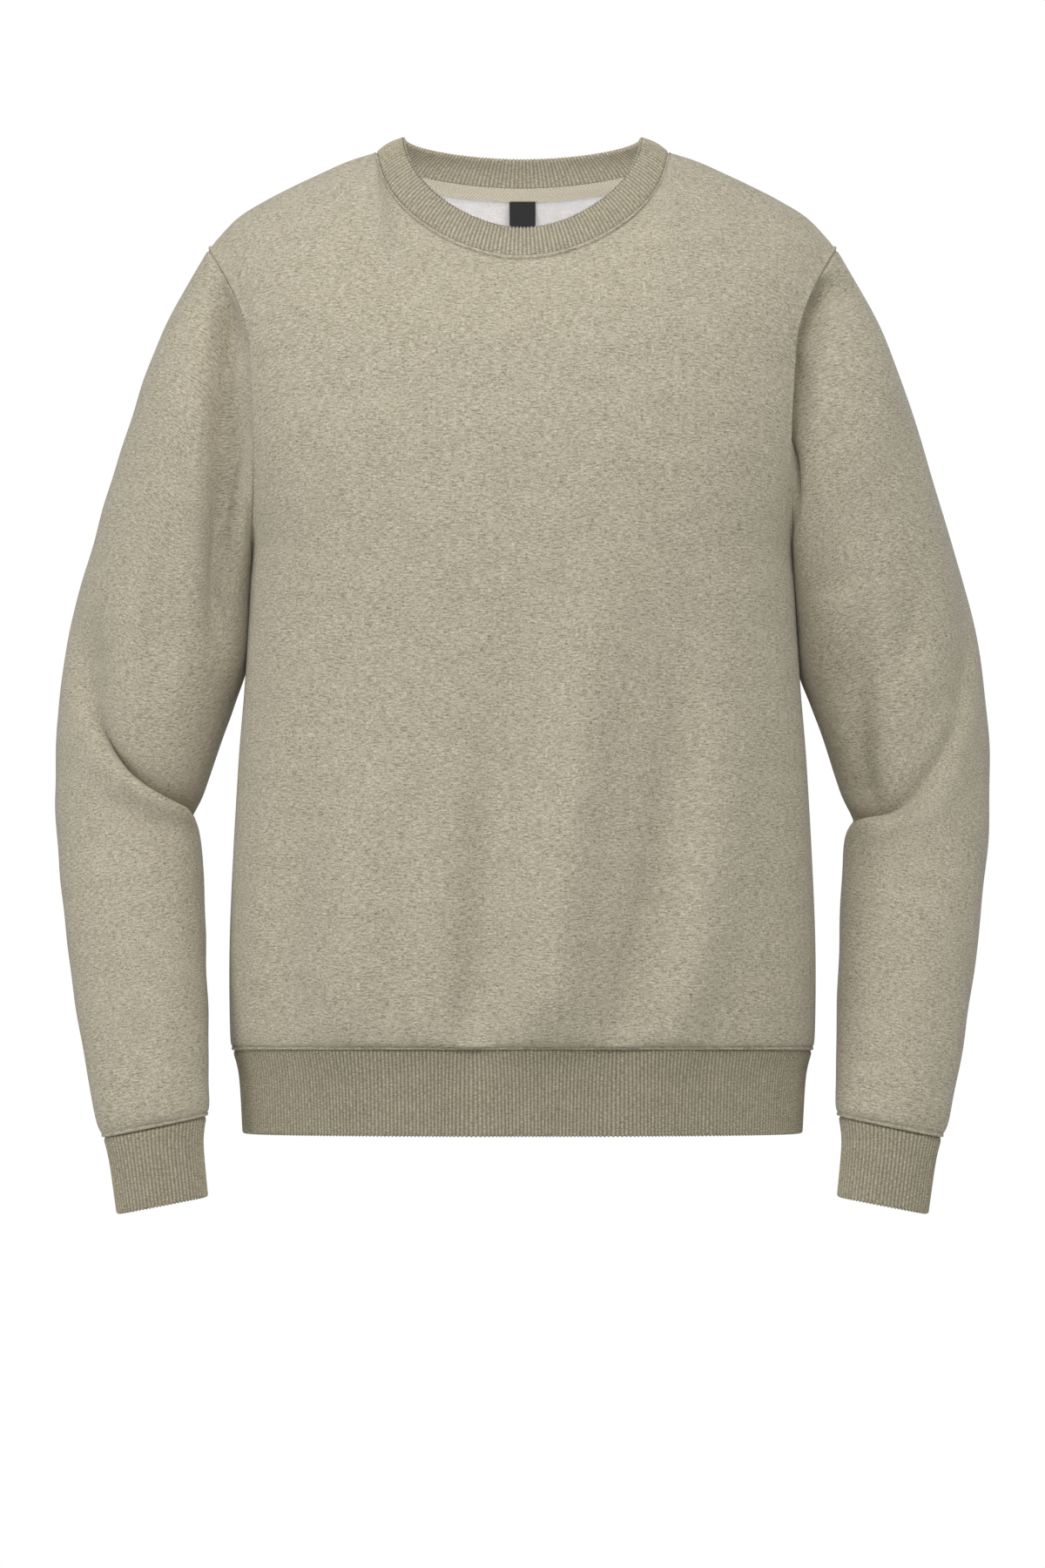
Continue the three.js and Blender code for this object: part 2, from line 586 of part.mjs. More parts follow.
// The waistband hangs from the waist seam and draws in below it. Its rows run upwards.
function waistbandRows(front, back) {
  const seam = [...front[0], ...back[0].slice(1, -1)].map((point) => point.clone());
  const outwards = normalsOf([seam, seam.map((point) => vec(point.x, point.y, point.z + 1))], true)[0];
  const rows = WAISTBAND_LEVELS.map((level) =>
    seam.map((point, c) =>
      point.clone().addScaledVector(outwards[c], -level.inset).setZ(level.z),
    ),
  );
  return [...rows.reverse(), seam];
}

// The neckband from the neckline seam to its free edge.
function neckbandRows(front, back) {
  const neckOf = (rows) => {
    const from = (PANEL_COLUMNS * (1 - NECK_SHARE)) / 2;
    return rows.at(-1).slice(from, PANEL_COLUMNS - from + 1).map((point) => point.clone());
  };
  const seam = [...neckOf(front), ...neckOf(back).slice(1, -1)];
  const { half, sideZ, frontY, frontZ, backY, backZ } = NECKBAND_TOP;
  const top = seam.map((_, c) => {
    const turn = ((c / seam.length) * 2 - 0.5) * Math.PI;
    return neckPoint(turn, half, sideZ, { y: frontY, z: frontZ }, { y: backY, z: backZ });
  });
  const middle = seam.map((point, c) => point.clone().lerp(top[c], 0.5));
  const crown = (_, r) => (r === 1 ? NECKBAND_CROWN : 0);
  return raised([seam, middle, top], true, crown);
}

// The tape over the back neck seam, made from the back panel's own strip along the neckline.
function neckTape(back) {
  const from = (PANEL_COLUMNS * (1 - NECK_SHARE)) / 2;
  const strip = (grid) => grid.slice(-2).map((row) => row.slice(from, PANEL_COLUMNS - from + 1));
  const rows = strip(back.rows);
  const normals = strip(back.normals);
  const outside = pushedIn(rows, normals, FLEECE + SEAM_GAP);
  const inside = pushedIn(rows, normals, FLEECE + SEAM_GAP + TAPE_CLOTH);
  return { geometry: wall(outside, inside, false), lowerEdge: outside[0] };
}

// The label hangs from the middle of the tape's lower edge, a little in front of the back.
function label(lowerEdge) {
  const middle = lowerEdge[(lowerEdge.length - 1) / 2];
  const shape = new THREE.BoxGeometry(LABEL.width, LABEL_CLOTH, LABEL.length);
  shape.translate(0, -LABEL.forward, -LABEL.length / 2 - SEAM_GAP);
  shape.rotateX(LABEL.lean);
  return shape.translate(middle.x, middle.y, middle.z);
}

const { front, back } = bodyPanels();
const left = sleeveAndCuff(front, back, 1);
const right = sleeveAndCuff(front, back, -1);
const cloth = {
  front: sheet("front", front, false, FLEECE),
  back: sheet("back", back, false, FLEECE),
  upperLeft: sheet("sleeve_left_upper", left.upper, true, FLEECE),
  lowerLeft: sheet("sleeve_left_lower", left.lower, true, FLEECE),
  upperRight: sheet("sleeve_right_upper", right.upper, true, FLEECE),
  lowerRight: sheet("sleeve_right_lower", right.lower, true, FLEECE),
  cuffLeft: sheet("cuff_left", left.cuff, true, RIB_CLOTH),
  cuffRight: sheet("cuff_right", right.cuff, true, RIB_CLOTH),
  waistband: sheet("waistband", waistbandRows(front, back), true, RIB_CLOTH),
  neckband: sheet("neckband", neckbandRows(front, back), true, RIB_CLOTH),
};
openSeams(Object.values(cloth));

const tape = neckTape(cloth.back);
const round = (row) => row.reduce((sum, point, c) => sum + point.distanceTo(row[(c + 1) % row.length]), 0);
const ribsRound = (row) => Math.round(round(row) / RIB_PITCH);
const cuff = (band) => ribbedWall(band, ribsRound(band.rows.at(-1)), INSIDE_STEP.cuff);
const waistRibs = ribsRound(cloth.waistband.rows[0]);

const sweatshirt = new THREE.Group();
sweatshirt.name = "crewneck_sweatshirt";
sweatshirt.add(
  piece("front", plainWall(cloth.front), COLOURS.fleece),
  piece("back", plainWall(cloth.back), COLOURS.fleece),
  piece("sleeve_left_upper", plainWall(cloth.upperLeft), COLOURS.fleece),
  piece("sleeve_left_lower", plainWall(cloth.lowerLeft), COLOURS.fleece),
  piece("sleeve_right_upper", plainWall(cloth.upperRight), COLOURS.fleece),
  piece("sleeve_right_lower", plainWall(cloth.lowerRight), COLOURS.fleece),
  piece("cuff_left", cuff(cloth.cuffLeft), COLOURS.rib),
  piece("cuff_right", cuff(cloth.cuffRight), COLOURS.rib),
  piece("waistband", ribbedWall(cloth.waistband, waistRibs, INSIDE_STEP.waistband), COLOURS.rib),
  piece("neckband", ribbedWall(cloth.neckband, NECKBAND_RIBS, INSIDE_STEP.neckband), COLOURS.rib),
  piece("neck_tape", tape.geometry, COLOURS.tape),
  piece("label", label(tape.lowerEdge), COLOURS.label),
);

export default sweatshirt;
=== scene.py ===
# %% [markdown]
# # A crewneck sweatshirt in heathered fleece
#
# The real garment is knitted cloth: a smooth jersey face outside, a brushed white back
# inside, and rib knit bands at the neck, hem and wrists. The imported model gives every
# piece its place and size. This script builds the same pieces again as fine surfaces, with
# their creases, rolled seams, ribs and stitches, and gives them their cloth.

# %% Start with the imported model
import math
import bpy
import numpy as np
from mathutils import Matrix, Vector


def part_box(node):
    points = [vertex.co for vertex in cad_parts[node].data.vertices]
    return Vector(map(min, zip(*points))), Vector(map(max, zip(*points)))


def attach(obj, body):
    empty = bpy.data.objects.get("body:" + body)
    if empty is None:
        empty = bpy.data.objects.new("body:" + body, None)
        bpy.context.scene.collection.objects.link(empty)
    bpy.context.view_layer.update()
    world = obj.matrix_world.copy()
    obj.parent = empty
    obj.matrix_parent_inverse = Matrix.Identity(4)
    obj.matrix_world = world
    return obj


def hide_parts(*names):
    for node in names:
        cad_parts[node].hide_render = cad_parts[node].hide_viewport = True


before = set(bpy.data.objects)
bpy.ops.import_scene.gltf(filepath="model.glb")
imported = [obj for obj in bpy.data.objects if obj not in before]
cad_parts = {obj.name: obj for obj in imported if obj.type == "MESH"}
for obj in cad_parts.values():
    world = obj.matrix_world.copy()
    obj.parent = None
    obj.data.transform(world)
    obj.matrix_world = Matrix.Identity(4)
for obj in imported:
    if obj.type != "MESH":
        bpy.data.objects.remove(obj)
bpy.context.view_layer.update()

# %% [markdown]
# ## Sizes
#
# A maker starts from measurements. All of these are millimetres, in the garment's own
# frame: +X to the wearer's left, -Y to the front, +Z up, and the origin between the
# two high shoulder points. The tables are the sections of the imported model, so that each
# fine surface lies on its solid.

# %% Sizes
MM = 0.001
FLEECE = 2.0
RIB_CLOTH = 3.0
TAPE_CLOTH = 1.0


def table(names, *rows):
    """Rows of numbers as an array whose columns are read by name."""
    columns = [(name, float) for name in names.split()]
    return np.array([tuple(map(float, row)) for row in rows], dtype=columns)


print("fleece", FLEECE, "mm, folded rib", RIB_CLOTH, "mm, tape", TAPE_CLOTH, "mm")

# %% Sections of the body
# From the hem up to the chest: depth and height at the middle, then the place of the side
# edge, and the angle in degrees that the cloth turns through from the middle to the side.
BODY_COLUMNS = "midY midZ edgeX edgeY edgeZ wrap"
FRONT_SECTIONS = table(
    BODY_COLUMNS,
    (-113, -649, 210.5, 4, -652, 90),
    (-121, -635, 213, 4, -637, 90),
    (-123, -562, 213, 4, -562, 90),
    (-118, -452, 207.5, 5, -452, 90),
    (-118, -388, 202.5, 6, -388, 90),
    (-119, -340, 199.5, 6, -340, 90),
    (-120, -302, 197.5, 6, -302, 90),
    (-119, -248, 195, -34, -264, 76),
    (-115, -194, 194.5, -54, -207, 66),
    (-106, -144, 198, -50, -142, 60),
)
BACK_SECTIONS = table(
    BODY_COLUMNS,
    (109, -649, 210.5, 4, -652, 90),
    (117, -635, 213, 4, -637, 90),
    (117, -562, 213, 4, -562, 90),
    (110, -452, 207.5, 5, -452, 90),
    (110, -388, 202.5, 6, -388, 90),
    (112, -340, 199.5, 6, -340, 90),
    (114, -302, 197.5, 6, -302, 90),
    (116, -244, 197, 44, -264, 76),
    (114, -184, 196.5, 62, -207, 66),
    (104, -124, 201, 56, -142, 60),
)
UNDERARM = 6
print(len(FRONT_SECTIONS) + len(BACK_SECTIONS), "body sections, the underarm at section", UNDERARM)

# %% Sections of the sleeves and cuffs
# From the armhole down: the outer and the inner edge of the arm as seen from the front, the
# depth at which the arm's middle lies, and how deep the arm is from front to back.
ARM_COLUMNS = "outerX outerZ innerX innerZ midY depth"
SLEEVE_SECTIONS = table(
    ARM_COLUMNS,
    (264, -132, 200, -322, 12, 126),
    (291, -209, 199.5, -347, 20, 132),
    (314.5, -286, 201, -374, 27, 132),
    (332, -352, 210, -400, 30, 128),
    (339.5, -412, 220.5, -430, 30, 122),
    (341, -457, 231, -464, 27, 117),
    (340.5, -484, 237.5, -486, 22, 113),
    (338, -514, 233.5, -512, 15, 110),
    (331, -577, 230.5, -572, -2, 103),
    (322, -636, 228.5, -628, -18, 94),
    (313, -683, 227.5, -669, -30, 82),
    (308.5, -704, 227, -690, -35, 74),
    (303.5, -714, 229.5, -698.5, -37, 60),
)
CUFF_SECTIONS = table(
    ARM_COLUMNS,
    (299, -732, 231.5, -718, -42, 55),
    (293.5, -768.5, 228, -756, -50, 50),
)
print(len(SLEEVE_SECTIONS), "sleeve sections and", len(CUFF_SECTIONS), "cuff sections")

# %% [markdown]
# ## Creases
#
# Cloth this heavy folds softly. On the body the waistband gathers the cloth, so its folds
# rise from the seam and fade on the chest, stronger on the wearer's left. On the sleeves
# the elbow makes one clear fold, where the upper arm's cloth drops behind the forearm's.
# Each fold is a straight or bowed line seen from the front or back, with a width and a
# height. Nothing of the back shows in the photo, so it gets similar folds, no two alike.
#
# A cloth simulation could drape these folds, but it would put them where it likes. Lines
# given one by one put each one where it is seen, and give the same garment on every run.

# %% Folds of the body
# Rise and fall are the shares of a fold's line over which it fades in and out, and bend is
# how far its middle bows to one side.
FOLD_COLUMNS = "x0 z0 x1 z1 width height rise fall bend"
FRONT_FOLDS = table(
    FOLD_COLUMNS,
    (-185, -655, -187, -460, 17, 2.5, 0, 0.6, 0),
    (-180, -655, -155, -420, 16, -7, 0, 0.6, 0),
    (-133, -655, -108, -360, 23, 9, 0, 0.7, 0),
    (-37, -655, -14, -360, 18, -14, 0, 0.7, 0),
    (16, -655, 60, -250, 25, 14, 0, 0.6, 0),
    (67, -655, 116, -300, 18, -11, 0, 0.7, 14),
    (109, -655, 148, -300, 22, 8, 0, 0.7, 14),
    (134, -655, 149, -590, 9, -3, 0, 0.8, 0),
)
BACK_FOLDS = table(
    FOLD_COLUMNS,
    (176, -655, 168, -440, 16, -4, 0, 0.7, 0),
    (128, -655, 112, -380, 22, 6, 0, 0.7, 0),
    (82, -655, 58, -330, 17, -7, 0, 0.8, 0),
    (28, -655, 12, -400, 22, 5, 0, 0.7, 0),
    (-22, -655, -30, -300, 19, -6, 0, 0.8, 0),
    (-84, -655, -66, -360, 24, 6, 0, 0.8, 0),
    (-136, -655, -118, -420, 16, -5, 0, 0.7, 0),
    (150, -330, 178, -190, 15, -5, 0.5, 0.5, 0),
    (-146, -340, -176, -200, 15, -5, 0.5, 0.5, 0),
)
print(len(FRONT_FOLDS), "front folds,", len(BACK_FOLDS), "back folds")

# %% Folds of the sleeves
# By side, 1 for the wearer's left, and by face, 1 for the front.
SLEEVE_FOLDS = {
    (-1, 1): table(
        FOLD_COLUMNS,
        (-219, -390, -216, -84, 11, -19, 0.3, 0.15, 0),
        (-208, -335, -206, -140, 7, -10, 0.4, 0.5, 0),
        (-262, -420, -268, -265, 13, -6, 0.5, 0.5, 0),
        (-316, -410, -315, -320, 11, -6, 0.5, 0.5, 0),
        (-318, -460, -242, -500, 12, -5, 0.4, 0.3, 0),
    ),
    (1, 1): table(
        FOLD_COLUMNS,
        (289, -462, 323, -392, 10, 4, 0.4, 0.4, 0),
        (270, -400, 290, -305, 12, -5, 0.4, 0.5, 0),
        (243, -482, 250, -330, 12, -8, 0.15, 0.5, -3),
        (219, -333, 236, -290, 9, -4, 0.4, 0.5, 0),
        (236, -400, 232, -270, 18, 4, 0.5, 0.5, 0),
    ),
    (-1, -1): table(
        FOLD_COLUMNS,
        (-232, -470, -300, -430, 14, -5, 0.2, 0.6, 8),
        (-208, -350, -222, -150, 13, -7, 0.4, 0.4, 0),
        (-236, -520, -292, -560, 15, -4, 0.2, 0.6, 0),
    ),
    (1, -1): table(
        FOLD_COLUMNS,
        (233, -476, 296, -424, 14, -5, 0.2, 0.6, -8),
        (208, -350, 224, -160, 13, -7, 0.4, 0.4, 0),
        (236, -514, 288, -566, 15, -4, 0.2, 0.6, 0),
    ),
}
print(sum(len(folds) for folds in SLEEVE_FOLDS.values()), "sleeve folds")

# %% Elbow creases
# Each row is a place round the sleeve, at every second cell from the outer edge to the inner
# one: the crease's level, counted in sections, its strength on the front, how sharp it is and
# how high the forearm's cloth rises past it, in millimetres. On the back it fades out.
CREASE_COLUMNS = "level strength sharp lip"
ELBOW_CREASE = {
    -1: table(
        CREASE_COLUMNS,
        (3.7, 0, 0, 0),
        (4.4, 0.9, 0.4, 1),
        (5.35, 1.1, 0.9, 4),
        (6.05, 1.1, 1, 6),
        (6.55, 1, 1, 7),
        (6.9, 0.3, 0.8, 6),
    ),
    1: table(
        CREASE_COLUMNS,
        (3.3, 0, 0, 3),
        (4.45, 0.7, 0.1, 7),
        (5.6, 1.1, 0.4, 8),
        (6.5, 1.1, 0.7, 6),
        (6.93, 1, 1, 4),
        (6.97, 0.3, 0.8, 4),
    ),
}
# The crease's own shape. Its row is a level, and the rest are lengths in millimetres: the
# dip and the pocket at its end with their reaches, the spread of the lip, the risers where
# the crease is sharp and where it is soft, the rounding of a soft one, and the lap.
CREASE = dict(
    row=5.8, dip=9.5, reach=24.0, pocket=5.0, pocket_reach=5.0, spread=19.0,
    riser=1.3, soft_riser=12.0, round=9.0, lap=3.4, lap_place=2.0, lap_width=2.0, near=30.0,
)
print("elbow creases", CREASE["dip"], "mm deep, with pockets of", CREASE["pocket"], "mm")

# %% Tucks
# Beside the armhole seam the sleeve's cloth tucks in under the body's edge. A tuck has its
# depth, how far from the seam it is deepest, and the heights between which it fades in and
# out. They are listed by side and face.
TUCK_COLUMNS = "depth reach top full"
TUCKS = {
    (-1, 1): table(TUCK_COLUMNS, (4, 15, -80, -112))[0],
    (1, 1): table(TUCK_COLUMNS, (20, 8, -84, -104))[0],
    (-1, -1): table(TUCK_COLUMNS, (6, 14, -100, -150))[0],
    (1, -1): table(TUCK_COLUMNS, (5, 14, -95, -160))[0],
}
TUCK_FOOT = dict(level=-285, fade=70)
print("deepest tuck", max(float(tuck["depth"]) for tuck in TUCKS.values()), "mm")


# %% [markdown]
# ## Curves through the tables
#
# A maker draws a pattern's edge by eye between a few measured stations. Here a cubic curve
# does that: it passes through each row of a table and keeps one slope there, so no station
# shows. A Subdivision Surface would round the stations off and miss them.

# %% Curve helpers
def mix(a, b, t):
    """The point a share t of the way from a to b."""
    return a + (b - a) * t


def ease(t):
    """Rises from 0 to 1 with level ends: three t squared less two t cubed."""
    t = np.clip(t, 0, 1)
    return t * t * (3 - 2 * t)


def powered(value, exponent):
    """The size of value raised to a power, with the value's own sign."""
    return np.sign(value) * np.abs(value) ** exponent


def hermite(a, slope_a, b, slope_b, t):
    """The cubic that leaves a with one slope and reaches b with another as t goes from 0 to 1."""
    t2, t3 = t * t, t * t * t
    ends = a * (2 * t3 - 3 * t2 + 1) + b * (3 * t2 - 2 * t3)
    return ends + slope_a * (t3 - 2 * t2 + t) + slope_b * (t3 - t2)


def read(values, level, corner=None):
    """A column read between its rows. The slope at a row is half the step across it, or at an end
    the step beside it. At a corner the curve may turn, so it leaves and arrives with the steps on
    either side."""
    last = len(values) - 1
    level = np.asarray(level, float)
    row = np.clip(np.floor(level).astype(int), 0, last - 1)
    step = np.diff(values)
    before, after = np.r_[step[0], step], np.r_[step, step[-1]]
    leave, arrive = (before + after) / 2, (before + after) / 2
    if corner is not None:
        leave[corner], arrive[corner] = after[corner], before[corner]
    return hermite(values[row], leave[row], values[row + 1], arrive[row + 1], level - row)


print("halfway up the front the side lies at", round(float(read(FRONT_SECTIONS["edgeX"], 3.5)), 1), "mm")


# %% Grid helpers
def unit(v):
    """Vectors made one long."""
    return v / np.maximum(np.linalg.norm(v, axis=-1, keepdims=True), 1e-12)


def points(x, y, z):
    """Three arrays as one array of points."""
    return np.stack(np.broadcast_arrays(x, y, z), axis=-1)


def normals_of(grid, closed):
    """The cross product of a grid's two directions at each point, from the points beside it."""
    if closed:
        across = np.roll(grid, -1, 1) - np.roll(grid, 1, 1)
    else:
        across = np.gradient(grid, axis=1)
    return unit(np.cross(across, np.gradient(grid, axis=0)))


def lengths_along(grid, axis):
    """How far each point lies along its row or column, from the first point."""
    step = np.linalg.norm(np.diff(grid, axis=axis), axis=-1)
    start = np.zeros_like(np.take(step, [0], axis=axis))
    return np.concatenate([start, np.cumsum(step, axis=axis)], axis=axis)


square = points(np.array([[0.0, 1.0]]), 0.0, np.array([[0.0], [1.0]]))
print("a square with rising rows faces", normals_of(square, False)[0, 0])


# %% Fold helpers
RIPPLE_WAVES = 7
RIPPLE_STRETCH = (0.7, 1.5)


def fold_height(fold, x, z):
    """How far a fold lifts the cloth: its height, times a bell curve of the distance from its line,
    faded in and out along the line."""
    run_x, run_z = fold["x1"] - fold["x0"], fold["z1"] - fold["z0"]
    length = math.hypot(run_x, run_z)
    along = ((x - fold["x0"]) * run_x + (z - fold["z0"]) * run_z) / length**2
    bow = fold["bend"] * 4 * np.maximum(0, along * (1 - along))
    across = ((x - fold["x0"]) * run_z - (z - fold["z0"]) * run_x) / length - bow
    faded = ease((1 - along) / fold["fall"])
    if fold["rise"]:
        faded = faded * ease(along / fold["rise"])
    return fold["height"] * faded * np.exp(-((across / fold["width"]) ** 2))


def fold_relief(folds, grid):
    """All folds of a table added up at each point of a grid."""
    return sum(fold_height(fold, grid[..., 0], grid[..., 2]) for fold in folds)


def ripples(u, v, seed, size, height):
    """Slow uneven waves of the cloth: a few sine waves of about one size, in directions and phases
    drawn from a seed, averaged."""
    rng = np.random.default_rng(seed)
    angles = rng.uniform(0, math.pi, RIPPLE_WAVES)
    phases = rng.uniform(0, 2 * math.pi, RIPPLE_WAVES)
    sizes = size * rng.uniform(*RIPPLE_STRETCH, RIPPLE_WAVES)
    total = 0
    for angle, phase, wave in zip(angles, phases, sizes):
        total = total + np.sin((u * math.cos(angle) + v * math.sin(angle)) * 2 * math.pi / wave + phase)
    return height * total / RIPPLE_WAVES


print("a ripple at the middle", round(float(ripples(0.0, 0.0, 3, 70, 0.9)), 2), "mm high")


# %% [markdown]
# ## The front and the back
#
# Each is one flat cut of fleece that curves round the body. A row of the grid is a section
# from side seam to side seam, drawn as a softened ellipse. Above the underarm its ends follow
# the armhole, and above the chest the columns climb to the neckline and the shoulder
# seam, and roll level where they meet it. The rows lie closer where a seam needs its shape.
#
# A flat pattern could be sewn up and inflated instead, as real cloth is. The grid is chosen
# because its edges lie exactly where the seams are seen, and every seam can be shaped.

# %% A section of the body
SECTION_POWER = 0.87
AT_UNDERARM = dict(edgeX=UNDERARM, edgeY=UNDERARM, edgeZ=UNDERARM)


def section(sections, level, across):
    """A section's points. Turning by an angle from its middle, x goes as the sine and the depth as
    the cosine, each raised to a power a little under 1, which squares an ellipse."""
    col = {name: read(sections[name], level, AT_UNDERARM.get(name)) for name in sections.dtype.names}
    wrap = np.radians(col["wrap"])
    turn = across * wrap
    depth = np.maximum(0, (np.cos(turn) - np.cos(wrap)) / (1 - np.cos(wrap))) ** SECTION_POWER
    return points(
        col["edgeX"] * powered(np.sin(turn) / np.sin(wrap), SECTION_POWER),
        mix(col["edgeY"], col["midY"], depth),
        mix(col["midZ"], col["edgeZ"], across**2),
    )


print("the front's middle at the underarm", section(FRONT_SECTIONS, UNDERARM, 0.0).round(1))

# %% Neckline and shoulder
# Depth and height of the neckline at the centre front and centre back, and the powers that
# shape it as it is seen from the front and from above.
NECK_HALF = 106.5
NECK_FRONT = (-72.0, -75.5)
NECK_BACK = (62.0, -20.0)
NECK_SEEN = 1.14
NECK_DEEP = 0.75
NECK_ROUND = 0.3
NECK_SHARE = 0.5
SHOULDER_HALF = 229.0
SHOULDER_LINE = np.array([2, -4.5, -13.6, -23.2, -33.8, -47, -69], float)


def neck_points(turn, half, side, front, back):
    """A closed line round the neck. Turn is 0 at the centre front and half a circle at the centre
    back. x goes as a power of the sine, kept plain near the centre so that the line is round there,
    and depth and height as powers of the cosine."""
    share = np.abs(np.cos(turn))
    squared = (np.sin(turn) ** 2 + NECK_ROUND**2) / (1 + NECK_ROUND**2)
    centre_y = np.where(np.cos(turn) > 0, front[0], back[0])
    centre_z = np.where(np.cos(turn) > 0, front[1], back[1])
    x = half * np.sin(turn) * squared ** ((NECK_SEEN - 1) / 2)
    return points(x, centre_y * share**NECK_DEEP, mix(side, centre_z, share**NECK_SEEN))


def top_points(across, facing):
    """The top edge of a panel: the neckline in the middle and the shoulder seam outside it."""
    reach = np.abs(across)
    turn = np.clip(across / NECK_SHARE, -1, 1) * math.pi / 2
    turn = turn if facing > 0 else math.pi - turn
    neck = neck_points(turn, NECK_HALF, SHOULDER_LINE[0], NECK_FRONT, NECK_BACK)
    share = np.clip((reach - NECK_SHARE) / (1 - NECK_SHARE), 0, 1)
    x = np.sign(across) * mix(NECK_HALF, SHOULDER_HALF, share)
    shoulder = points(x, 0.0, read(SHOULDER_LINE, share * (len(SHOULDER_LINE) - 1)))
    return np.where((reach < NECK_SHARE)[..., None], neck, shoulder)


print("neckline", 2 * NECK_HALF, "mm wide, shoulders", 2 * SHOULDER_HALF, "mm")

# %% Yoke
# How much of each column's length its curve spends on rolling over the shoulder, inside and
# outside, the depth and height of its way up at the neck, and the strip beside the top edge
# whose rows stay at fixed distances.
SHOULDER_ROLL = (0.55, 0.85)
NECK_RISE = (0.5, 0.85)
NECK_LEVELLING = 9
EDGE_STRIP = 11.0
BELOW_YOKE = 0.05
CORNER = dict(width=0.1, rise=0.3, near=0.2)


def yoke(sections, facing, across, shares, steps):
    """Rows from the last section to the top edge, each column one cubic curve. It leaves along the
    chest and arrives level over the shoulder, or rising at the neck."""
    last = len(sections) - 1
    low = section(sections, last, across)
    rising = unit(low - section(sections, last - BELOW_YOKE, across))
    top = top_points(across, facing)
    length = np.linalg.norm(top - low, axis=-1)[:, None]
    level = ease(np.abs(across) / NECK_SHARE)[:, None] ** NECK_LEVELLING
    outwards = np.maximum(0, (np.abs(across) - NECK_SHARE) / (1 - NECK_SHARE))[:, None]
    inwards, upwards = facing * mix(NECK_RISE[0], 1, level), mix(NECK_RISE[1], 0, level)
    rolling = unit(np.concatenate([np.zeros_like(level), inwards, upwards], axis=1))
    rolling = rolling * mix(1, mix(*SHOULDER_ROLL, outwards), level)
    strip = (length - EDGE_STRIP) / length
    t = np.concatenate([shares[:, None] * strip[:, 0], 1 - steps[:, None] / length[:, 0]])[..., None]
    grid = hermite(low, rising * length, top, rolling * length, t)
    return ease_corner(grid, across, t[:, len(across) // 4, 0])


def ease_corner(grid, across, t):
    """The cloth runs smoothly below the neck's corner. There each point is averaged along its row
    by a bell curve, which narrows to nothing at the top edge."""
    width = CORNER["width"] * ease(t / CORNER["rise"]) * np.sqrt(1 - t) + 1e-3
    weight = np.exp(-(((across[:, None] - across) / width[:, None, None]) ** 2))
    average = weight @ grid / weight.sum(-1, keepdims=True)
    near = np.exp(-(((np.abs(across) - NECK_SHARE) / CORNER["near"]) ** 2))[:, None]
    return mix(grid, average, near)


print("the yoke levels out within", EDGE_STRIP, "mm of its top edge")

# %% Rows and columns
PANEL_CELLS = 24
FINE_STEPS = 8
CELLS_ABOVE_UNDERARM = 10
NEAR_STEPS = np.array([0.02, 0.06, 0.12, 0.2, 0.3, 0.45, 0.65, 0.85])
STRIP_STEPS = np.array([11, 8.6, 6.6, 5.2, 4.3, 3.6, 3.0, 2.4, 1.8, 1.2, 0.6, 0.0])
HEM_STEPS = np.array([0, 0.03, 0.07, 0.11, 0.15, 0.2, 0.26, 0.34, 0.44, 0.56, 0.7, 0.85])


def spread(cells, fine):
    """Even steps over a number of cells, each cut finely, with more steps close to both ends."""
    even = np.linspace(0, cells, cells * fine + 1)
    near = NEAR_STEPS / fine
    return np.unique(np.round(np.concatenate([even, near, cells - near]), 6))


ACROSS = spread(PANEL_CELLS, FINE_STEPS) / (PANEL_CELLS / 2) - 1
AT_NECK = np.abs(ACROSS) <= NECK_SHARE + 1e-9
BODY_LEVELS = np.unique(np.concatenate([HEM_STEPS, np.linspace(1, UNDERARM, 88)]))
ARMHOLE_LEVELS = mix(UNDERARM, len(FRONT_SECTIONS) - 1, np.linspace(0, 1, 41)[1:])
YOKE_SHARES = np.linspace(0, 1, 33)[1:-1]
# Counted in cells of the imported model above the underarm, so that the sleeve can follow them.
STRIP_CELLS = 10 - STRIP_STEPS / EDGE_STRIP
ARMHOLE_CELLS = np.concatenate([np.linspace(0, 5, 41), 5 + 4 * YOKE_SHARES, STRIP_CELLS])
FIRST_ARMHOLE_ROW = len(BODY_LEVELS) - 1
print(len(ACROSS), "columns, and the armhole starts at row", FIRST_ARMHOLE_ROW)

# %% Panels
# Where the folds are calmed, as shares of the width or heights in millimetres, and where the
# rows are evened out below the underarm, counted in sections.
SIDE_CALM = 0.2
HEM_SHARE = 0.4
HEM_LEVEL = -653
HEM_FADE = 45
SEAM_CALM = dict(level=-650, fade=50)
LEVELLING = dict(level=5.5, spread=0.9, width=0.55, sides=0.25)
RIPPLE_HEIGHT = 0.9
BODY_RIPPLES = dict(size=70, low=-655, high=-30, fade=60)


def ease_level(grid, across, levels):
    """The cloth runs on smoothly past the level of the underarm. There each point is averaged along
    its column by a bell curve, except near the sides."""
    away = (levels - LEVELLING["level"]) / LEVELLING["spread"]
    width = LEVELLING["width"] * np.exp(-(away**2)) + 1e-3
    weight = np.exp(-(((levels[:, None] - levels) / width[:, None]) ** 2)) * np.gradient(levels)
    average = np.tensordot(weight, grid, 1) / weight.sum(-1)[:, None, None]
    return mix(grid, average, ease((1 - np.abs(across)) / LEVELLING["sides"])[:, None])


